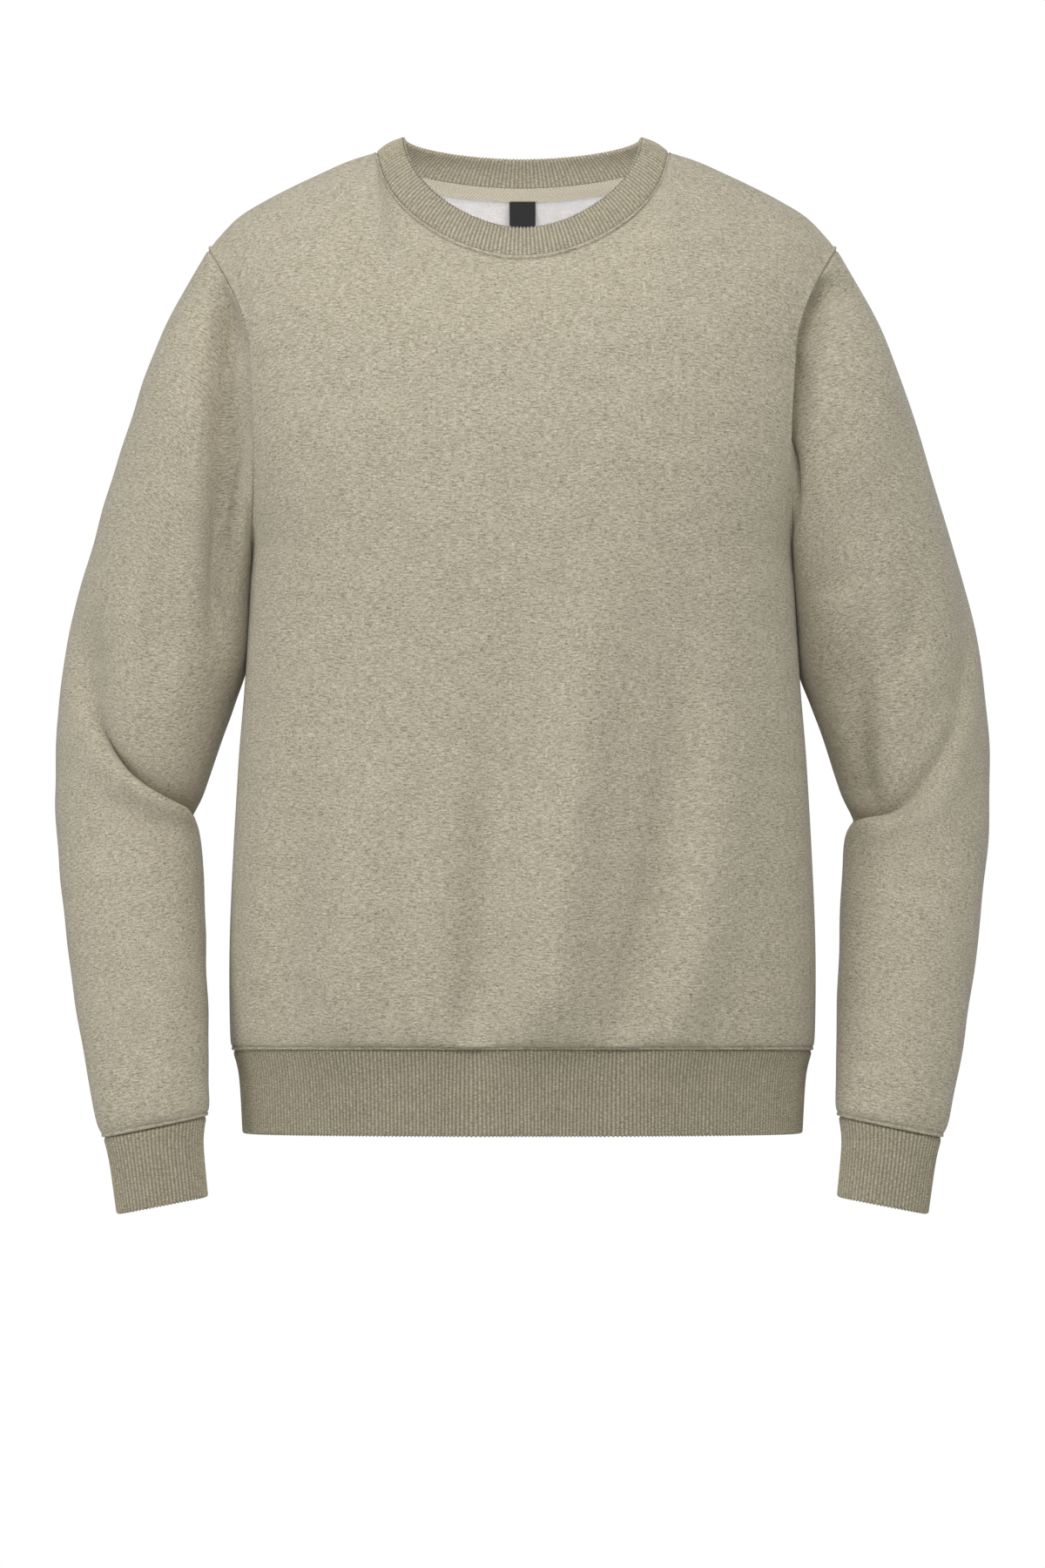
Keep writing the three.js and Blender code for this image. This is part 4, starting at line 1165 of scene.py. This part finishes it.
def twill_tape():
    """Woven tape with a fine diagonal rib, paler than the body. Its ridges take painted highlight
    and the hollows between them painted shade.
    """
    cloth = Cloth("twill_tape", Roughness=0.9, Specular_IOR_Level=0.2, Sheen_Weight=0.1)
    uv = cloth.uv()
    x, y = (cloth.node("ShaderNodeSeparateXYZ", {}, {0: uv}, axis) for axis in (0, 1))
    bone = (y / TWILL_TURN).math("PINGPONG", 1.0) * TWILL_TURN
    lines = ((x + bone) * (2 * math.pi / TWILL_PITCH)).math("SINE") * 0.5 + 0.5
    specks = cloth.noise(cloth.scaled(uv, 0.002, 0.001), 2.0, 0.6)
    # The colour follows the twill's height: painted highlight on the ridges, painted shade between them.
    colour = two_shades(cloth, lines * 0.55 + specks * 0.3 + 0.15, (178, 170, 148), (236, 228, 209))
    return cloth.finish(colour, lines, 0.0004, 0.7)


def label_satin():
    """A bare black woven label with a slight shine."""
    cloth = Cloth("label_satin", Roughness=0.55, Specular_IOR_Level=0.35, Sheen_Weight=0.1)
    weave = cloth.noise(cloth.scaled(cloth.uv(), 0.0004, 0.0012), 1.0, 0.5)
    colour = two_shades(cloth, weave * 0.5 + 0.5, (20, 20, 21), (38, 38, 40))
    return cloth.finish(colour, weave, 0.0001, 0.6)


def thread():
    """Sewing thread in the shade of the body."""
    cloth = Cloth("thread", Roughness=0.75, Specular_IOR_Level=0.3, Sheen_Weight=0.2)
    twist = cloth.noise(cloth.scaled(cloth.uv(), 0.0006, 0.0003), 1.0, 0.5)
    colour = two_shades(cloth, twist * 0.5 + 0.5, (160, 152, 130), (190, 182, 160))
    return cloth.finish(colour, twist, 0.0001, 0.5)


TAPE, LABEL, THREAD = twill_tape(), label_satin(), thread()
print(len(bpy.data.materials), "materials")

# %% [markdown]
# ## Rolled edges and ridges
#
# The seam's roll is a narrow dip of about a millimetre. Along the neckline and above the
# waist and cuff seams the allowances inside lift the cloth into a low ridge, which the
# stitch line ends. The armhole has the same, on the body's side. A bump in the material
# would show from the front but not at the outline, so these are moved points of the mesh.

# %% Seam profiles
# From the edge inwards, in millimetres: the roll's depth and width, the ridge's start, end,
# height and softness, the place, depth and width of the dip that the stitches pull, and the
# place of the stitches themselves.
SEAMS = {
    "neck": dict(roll=(1.0, 1.1), ridge=(0.9, 3.6, 1.2, 0.4), pulled=(4.3, 0.8, 0.7), stitches=4.1),
    "armhole": dict(roll=(1.0, 1.1), ridge=(0.7, 3.4, 1.1, 0.45), pulled=(4.0, 0.6, 0.7), stitches=3.8),
    "band": dict(roll=(0.8, 0.7), ridge=(0.5, 2.7, 1.0, 0.35), pulled=(3.2, 0.6, 0.6), stitches=3.1),
}
SIDE_ROLL = 0.6
SLEEVE_ROLL = (1.1, 1.2)
NECK_EDGE = 260


def dip(distance, depth, width):
    """A bell-shaped dip at a seam."""
    return -depth * np.exp(-((distance / width) ** 2))


def ridge(distance, start, end, height, soft):
    """A flat-topped rise between two distances from a seam, with sides that follow a tanh curve."""
    return height / 2 * (np.tanh((distance - start) / soft) - np.tanh((distance - end) / soft))


def allowance(seam, distance):
    """The ridge over a seam's turned-in edge, and the dip that its stitches pull."""
    place, depth, width = SEAMS[seam]["pulled"]
    return ridge(distance, *SEAMS[seam]["ridge"]) + dip(distance - place, depth, width)


def seam_relief(name):
    """The heights that the seams add to a plain piece, from the distance to each of its edges."""
    grid = grids[name]
    up, across = lengths_along(grid, 0), lengths_along(grid, 1)
    above = up[-1:] - up
    band = above if name.startswith("sleeve") else up
    relief = dip(band, *SEAMS["band"]["roll"]) + allowance("band", band)
    if name.startswith("sleeve"):
        return relief + dip(up, *SLEEVE_ROLL)
    neck = 1 / (1 + np.exp((np.abs(ACROSS) - NECK_SHARE) * NECK_EDGE))
    relief = relief + dip(above, *SEAMS["neck"]["roll"]) + neck * allowance("neck", above)
    side = np.minimum(across, across[:, -1:] - across)
    armhole = (np.arange(len(grid)) >= FIRST_ARMHOLE_ROW)[:, None]
    depth, width = SEAMS["armhole"]["roll"]
    relief = relief + dip(side, mix(SIDE_ROLL, depth, armhole), width)
    return relief + armhole * allowance("armhole", side)


print("the neck seam's ridge stands", SEAMS["neck"]["ridge"][2], "mm high")

# %% Body and sleeves
PLAIN = ("front", "back", "sleeve_left", "sleeve_right")
# A sleeve is one cut of cloth here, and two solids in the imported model.
NODES = {name: [name + "_upper", name + "_lower"] for name in ("sleeve_left", "sleeve_right")}
objects = {}
for name in PLAIN:
    outer = grids[name] + normals[name] * seam_relief(name)[..., None]
    tube, cloths = CLOSED[name], [FACE, INSIDE]
    objects[name] = shell("cloth_" + name, outer, normals[name], FLEECE, tube, cloths, from_end=tube)
    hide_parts(*NODES.get(name, [name]))
print({name: len(obj.data.polygons) for name, obj in objects.items()})


# %% [markdown]
# ## Ribs
#
# A rib is a column of knit stitches standing out between two sunken ones. The ribs run from
# the seam over the fold and up the inside, evenly spaced round the band. A displacement
# texture could raise them, but then the mesh would need far more faces between the ribs
# than at them. Here each rib has the same few points, at the same places of its wave.

# %% Places round a band
RIB_PITCH = 2.67
NECKBAND_RIBS = 196


def evenly(line, count):
    """Places at even steps along a closed line: the point before each, the one after, and the share
    between."""
    reach = np.append(0, np.cumsum(np.linalg.norm(np.roll(line, -1, 0) - line, axis=1)))
    place = np.interp(np.arange(count) / count * reach[-1], reach, np.arange(len(reach)))
    before = np.minimum(place.astype(int), len(line) - 1)
    return before, (before + 1) % len(line), (place - before)[:, None]


def ribs_round(row):
    """How many ribs of the usual pitch go round a closed row."""
    return round(float(np.linalg.norm(np.roll(row, -1, 0) - row, axis=1).sum()) / RIB_PITCH)


BANDS = {
    "neckband": (1, NECKBAND_RIBS, NECK_RIB_PAINTED_LIGHT),
    "waistband": (-1, ribs_round(grids["waistband"][0]), RIB),
    "cuff_left": (1, ribs_round(grids["cuff_left"][-1]), RIB),
    "cuff_right": (1, ribs_round(grids["cuff_right"][-1]), RIB),
}
print({name: ribs for name, (_, ribs, _) in BANDS.items()}, "ribs")

# %% Rib bands
POINTS_PER_RIB = 6
RIB_HEIGHT = 0.9
RIB_ROUND = 0.8
# How much of its height a rib keeps at the seam and inside, and over what length it rises.
RIB_AT_SEAM = 0.35
RIB_INSIDE = 0.5
RIB_RISE = 4
BAND_ROLL = (0.8, 1.0)


def rib_band(name, grid, normal, ribs, material):
    """A folded band. Its grid runs from the seam to the free edge. The profile goes down the
    outside, round the fold in a half circle and up the inside, and the ribs lift it as a raised
    cosine does."""
    count = ribs * POINTS_PER_RIB
    before, after, share = evenly(grid[0], count)
    surface = mix(grid[:, before], grid[:, after], share)
    out = unit(mix(normal[:, before], normal[:, after], share))
    ahead = unit(surface[-1] - surface[-2])
    ahead = unit(ahead - out[-1] * (ahead * out[-1]).sum(-1, keepdims=True))
    half = RIB_CLOTH / 2
    surface[-1] -= ahead * half
    turn = np.radians([30, 60, 90, 120, 150])[:, None, None]
    fold_out = out[-1] * np.cos(turn) + ahead * np.sin(turn)
    profile = np.concatenate([
        surface, surface[-1] - out[-1] * half + fold_out * half, surface[::-2] - out[::-2] * RIB_CLOTH,
    ])
    away = np.concatenate([out, fold_out, -out[::-2]])
    wave = (0.5 + 0.5 * np.cos(2 * math.pi * np.arange(count) / POINTS_PER_RIB)) ** RIB_ROUND
    depth = lengths_along(profile, 0)
    outside = (np.arange(len(profile)) < len(surface) + len(turn))[:, None]
    rise = (wave - 0.5) * RIB_HEIGHT * mix(RIB_AT_SEAM, 1, ease(depth / RIB_RISE))
    rise = rise * mix(RIB_INSIDE, 1, outside) + dip(depth, *BAND_ROLL) * outside
    verts = profile + away * rise[..., None]
    ids = numbered(len(profile), count, True)
    uv = cloth_uv(profile, True)
    places = numbered(*uv.shape[:2], False)
    # The last faces close the band from its inner edge back to the seam.
    faces = np.concatenate([cells(ids), cells(ids[[-1, 0]])])
    corners = np.concatenate([cells(places), cells(places[[-1, -1]])])
    facing = np.cross(surface[0, 1] - surface[0, 0], surface[1, 0] - surface[0, 0])
    if np.dot(facing, out[0, 0]) < 0:
        faces, corners = faces[:, ::-1], corners[:, ::-1]
    uv = uv.reshape(-1, 2)[corners]
    crest = {"crest": np.broadcast_to(wave, (len(profile), count))}
    return new_object(name, verts.reshape(-1, 3), faces, [material], uv, attributes=crest)


for name, (direction, ribs, material) in BANDS.items():
    grid, normal = grids[name][::direction], normals[name][::direction]
    objects[name] = rib_band("rib_" + name, grid, normal, ribs, material)
    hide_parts(name)
    print(name, ribs, "ribs,", len(objects[name].data.polygons), "faces")


# %% [markdown]
# ## Neck tape and label
#
# The tape covers the back neck seam on the inside, from one shoulder seam to the other.
# The label hangs from under it at the centre back. It is black and carries nothing. Both
# could be planes bent by modifiers, but the tape has to follow the back, so it takes its
# rows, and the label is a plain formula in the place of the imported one.

# %% Neck tape
TAPE_GAP = 0.3


def tape_grid():
    """The back's own points beside the neckline, moved in past the cloth."""
    rows = slice(len(grids["back"]) - len(STRIP_STEPS), None)
    normal = normals["back"][rows][:, AT_NECK]
    return grids["back"][rows][:, AT_NECK] - normal * (FLEECE + TAPE_GAP), normal


tape, tape_normal = tape_grid()
objects["neck_tape"] = shell("tape_neck", tape, tape_normal, TAPE_CLOTH, False, [TAPE, TAPE])
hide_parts("neck_tape")
print("tape", len(objects["neck_tape"].data.polygons), "faces")

# %% Label
LABEL_SIZE = (19.0, 42.0, 0.8)
LABEL_LEAN = dict(top=1.2, foot=0.2, power=1.1, curl=0.6)


def label_grid():
    """A strip that hangs from under the tape and leans back with the cloth, its sides curled
    forwards a little."""
    low, high = (np.array(corner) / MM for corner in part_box("label"))
    across = np.linspace(-1, 1, 25)[None, :]
    down = np.linspace(1, 0, 41)[:, None]
    lean = mix(low[1] + LABEL_LEAN["foot"], high[1] - LABEL_LEAN["top"], down ** LABEL_LEAN["power"])
    y = lean - LABEL_LEAN["curl"] * across**2 * down
    return points(across * LABEL_SIZE[0] / 2, y, high[2] - LABEL_SIZE[1] * down)


label = label_grid()
label_normal = normals_of(label, False)
objects["label"] = shell("label_neck", label, label_normal, LABEL_SIZE[2], False, [LABEL, LABEL])
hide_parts("label")


# %% [markdown]
# ## Stitches
#
# A line of lockstitch or chain stitch reads as short bars with a gap between them. Each bar
# is a small spindle, fat in the middle and sunk at both ends, where the needle pulled it
# into the cloth. One spindle could be copied along a curve by an Array modifier, but one
# mesh made at once is lighter, and every stitch can lie a little unevenly.

# %% Stitch maker
STITCH = dict(length=2.3, pitch=3.0, radius=0.32, sink=0.12, uneven=0.06, thin=0.25)
# The four-cornered faces that close a stitch's first ring, and its last.
CAPS = np.array([[0, 1, 2, 3], [0, 3, 4, 5]])


def stitch_line(name, path, out, closed=True):
    """Spindles along a path. At each share of a stitch the radius goes as the sine of its length,
    and its middle stands proud of the cloth while its ends sink."""
    line, lift = (np.concatenate([a, a[:1]]) if closed else a for a in (path, out))
    reach = lengths_along(line, 0)
    count = int(reach[-1] / STITCH["pitch"])
    rng = np.random.default_rng(len(path))
    moved = rng.uniform(-STITCH["uneven"], STITCH["uneven"], count)
    start = (np.arange(count) + moved) * reach[-1] / count
    share = np.array([0.0, 0.18, 0.5, 0.82, 1.0])
    at = start[:, None] + share * STITCH["length"]
    middle = np.stack([np.interp(at, reach, line[:, k]) for k in range(3)], axis=-1)
    up = unit(np.stack([np.interp(at, reach, lift[:, k]) for k in range(3)], axis=-1))
    ahead = unit(np.gradient(middle, axis=1))
    beside = unit(np.cross(ahead, up))
    swell = np.maximum(STITCH["thin"], np.sin(share * math.pi))[None, :, None]
    middle = middle + up * (swell * 2 - 1) * STITCH["sink"]
    angle = np.linspace(0, 2 * math.pi, 6, endpoint=False)
    ring = beside[:, :, None] * np.cos(angle)[:, None] + up[:, :, None] * np.sin(angle)[:, None]
    verts = middle[:, :, None] + ring * STITCH["radius"] * swell[..., None]
    ids = np.arange(verts.size // 3).reshape(count, len(share), len(angle))
    nxt = np.roll(ids, -1, 2)
    sides = np.stack([ids[:, :-1], ids[:, 1:], nxt[:, 1:], nxt[:, :-1]], axis=-1).reshape(-1, 4)
    first, last = ids[:, 0][:, CAPS], ids[:, -1][:, CAPS[:, ::-1]]
    faces = np.concatenate([sides, first.reshape(-1, 4), last.reshape(-1, 4)])
    uv = np.stack([np.broadcast_to(a, verts.shape[:3]) for a in (at[..., None], angle)], axis=-1)
    obj = new_object(name, verts.reshape(-1, 3), faces, [THREAD], uv.reshape(-1, 2)[faces])
    return obj, count


print("a stitch is", STITCH["length"], "mm long, one every", STITCH["pitch"], "mm")


# %% Lines beside the seams
def row_at(name, distance, from_end):
    """The row of a grid nearest to a distance from its first or last row."""
    up = lengths_along(grids[name], 0).mean(axis=1)
    away = up[-1] - up if from_end else up
    return int(np.argmin(np.abs(away - distance)))


def on_row(name, row, columns=slice(None)):
    """The points and normals of one row, with the seam's relief."""
    outer = grids[name] + normals[name] * seam_relief(name)[..., None]
    return outer[row, columns], normals[name][row, columns]


def end_to_end(*parts):
    """Lines with their normals, one after the other, as one."""
    return tuple(np.concatenate(arrays) for arrays in zip(*parts))


def round_body(distance, from_end, columns=slice(None)):
    """One closed line over the front and back at a distance from an edge."""
    rows = {name: row_at(name, distance, from_end) for name in ("front", "back")}
    return end_to_end(*(on_row(name, row, columns) for name, row in rows.items()))


def armhole_line(column):
    """The line beside one armhole at a distance from the body's edge, up the front and down the
    back."""
    up = on_row("front", slice(FIRST_ARMHOLE_ROW, None), column)
    down = on_row("back", slice(None, FIRST_ARMHOLE_ROW, -1), -1 - column)
    return end_to_end(up, down)


# The column that lies about as far in from the side as the stitch line.
from_side = lengths_along(grids["front"][FIRST_ARMHOLE_ROW:], 1).mean(axis=0)
SIDE_COLUMN = int(np.argmin(np.abs(from_side - SEAMS["armhole"]["stitches"])))
AT_BAND = SEAMS["band"]["stitches"]
stitches = {
    "stitch_neckline": round_body(SEAMS["neck"]["stitches"], True, AT_NECK),
    "stitch_waist": round_body(AT_BAND, False),
    "stitch_cuff_left": on_row("sleeve_left", row_at("sleeve_left", AT_BAND, True)),
    "stitch_cuff_right": on_row("sleeve_right", row_at("sleeve_right", AT_BAND, True)),
    "stitch_armhole_right": armhole_line(SIDE_COLUMN),
    "stitch_armhole_left": armhole_line(-1 - SIDE_COLUMN),
}
print(len(stitches), "lines of stitches")

# %% Stitches
for name, (path, out) in stitches.items():
    objects[name], count = stitch_line(name, path, out, closed="armhole" not in name)
    print(name, count, "stitches")

# %% [markdown]
# ## Sizes of the pieces
#
# The lengths across and along each finished piece are measured, with its area, and printed.
# The size it was cut to before it was worn into shape can't be seen in a finished garment.

# %% Measured cloth
def area_of(name):
    """The area of a piece's grid in square metres."""
    grid = grids[name]
    if CLOSED[name]:
        grid = np.concatenate([grid, grid[:, :1]], axis=1)
    a, b = grid[1:, 1:] - grid[:-1, :-1], grid[1:, :-1] - grid[:-1, 1:]
    return float(np.linalg.norm(np.cross(a, b), axis=-1).sum() / 2) * 1e-6


for name in grids:
    size = np.ptp(cloth_uv(grids[name], CLOSED[name]), axis=(0, 1)) * MM
    print(name, "across", round(size[0], 3), "along", round(size[1], 3), "area", round(area_of(name), 4))

# %% Pieces
print(len(objects), "pieces, ten of them sheets")

# %% [markdown]
# ## Studio
#
# The garment stands alone on white, in soft light from the front left that leaves
# the wearer's left side a little darker. The camera is level with the middle of the body
# and far away, so the outline hardly changes with depth. One wide light would flatten the
# folds, so a key from above and a light from the side share the work.

# %% Camera
FRAME_HEIGHT = 1.1412
CAMERA_DISTANCE = 9.0
camera_data = bpy.data.cameras.new("camera")
camera_data.sensor_width = 36
camera_data.lens = 36 * CAMERA_DISTANCE / FRAME_HEIGHT
camera = bpy.data.objects.new("camera", camera_data)
camera.location = (0, -CAMERA_DISTANCE, -0.4577)
camera.rotation_euler = (math.pi / 2, 0, 0)
bpy.context.scene.collection.objects.link(camera)
bpy.context.scene.camera = camera
print("camera at", tuple(round(v, 2) for v in camera.location))

# %% Floor
FLOOR_LEVEL = -1.15


def floor():
    """A round pale floor well below the garment, small enough to stay under the picture."""
    turn = np.linspace(0, 2 * math.pi, 96, endpoint=False)
    mesh = bpy.data.meshes.new("floor")
    ring = points(np.cos(turn), np.sin(turn), FLOOR_LEVEL)
    mesh.from_pydata(ring.tolist(), [], [list(range(len(turn)))])
    material = bpy.data.materials.new("floor")
    material.use_nodes = True
    material.node_tree.nodes["Principled BSDF"].inputs["Base Color"].default_value = (0.85, 0.85, 0.85, 1)
    material.node_tree.nodes["Principled BSDF"].inputs["Roughness"].default_value = 0.9
    mesh.materials.append(material)
    obj = bpy.data.objects.new("floor", mesh)
    bpy.context.scene.collection.objects.link(obj)


floor()
print("floor at", FLOOR_LEVEL, "m")

# %% Lights
MIDDLE = (0, 0, -0.4)
COLLAR = dict(place=(0, -0.05, -0.17), slope=48, size=(0.16, 0.05), power=0.16)


def area_light(name, place, power, width, height=None):
    """A soft light, square unless it is given a height. It faces the middle of the garment."""
    data = bpy.data.lights.new(name, "AREA")
    data.size, data.energy = width, power
    if height is not None:
        data.shape, data.size_y = "RECTANGLE", height
    lamp = bpy.data.objects.new(name, data)
    lamp.location = place
    lamp.rotation_mode = "QUATERNION"
    lamp.rotation_quaternion = (Vector(MIDDLE) - Vector(place)).to_track_quat("-Z", "Y")
    bpy.context.scene.collection.objects.link(lamp)
    return lamp


area_light("key", (-0.1, -2.4, 1.8), 54, 1.3)
area_light("left", (-3.1, -1.5, 0.4), 36, 1.4)
area_light("fill", (2.4, -2.3, 1.1), 23, 1.8)
area_light("back", (1.0, 3.0, 0.4), 25, 2.0)
# A small light inside the garment, below the neck opening, faces up and back, onto the inside
# of the back, which would be dark otherwise.
collar = area_light("collar", COLLAR["place"], COLLAR["power"], *COLLAR["size"])
collar.rotation_mode = "XYZ"
collar.rotation_euler = (math.pi / 2 + math.radians(COLLAR["slope"]), 0, 0)
collar.visible_camera = False
print(len(bpy.data.lights), "lights")


# %% White around
def studio_world():
    """White to the camera, and an even grey light to the cloth."""
    world = bpy.data.worlds.new("studio")
    world.use_nodes = True
    tree = world.node_tree
    tree.nodes.clear()
    seen, lit = tree.nodes.new("ShaderNodeBackground"), tree.nodes.new("ShaderNodeBackground")
    seen.inputs["Color"].default_value = (1, 1, 1, 1)
    lit.inputs["Color"].default_value = (1, 1, 1, 1)
    lit.inputs["Strength"].default_value = 0.33
    path, chosen = tree.nodes.new("ShaderNodeLightPath"), tree.nodes.new("ShaderNodeMixShader")
    out = tree.nodes.new("ShaderNodeOutputWorld")
    tree.links.new(path.outputs["Is Camera Ray"], chosen.inputs["Fac"])
    tree.links.new(lit.outputs["Background"], chosen.inputs[1])
    tree.links.new(seen.outputs["Background"], chosen.inputs[2])
    tree.links.new(chosen.outputs["Shader"], out.inputs["Surface"])
    bpy.context.scene.world = world


studio_world()
bpy.context.scene.view_settings.view_transform = "Standard"
print("world", bpy.context.scene.world.name)
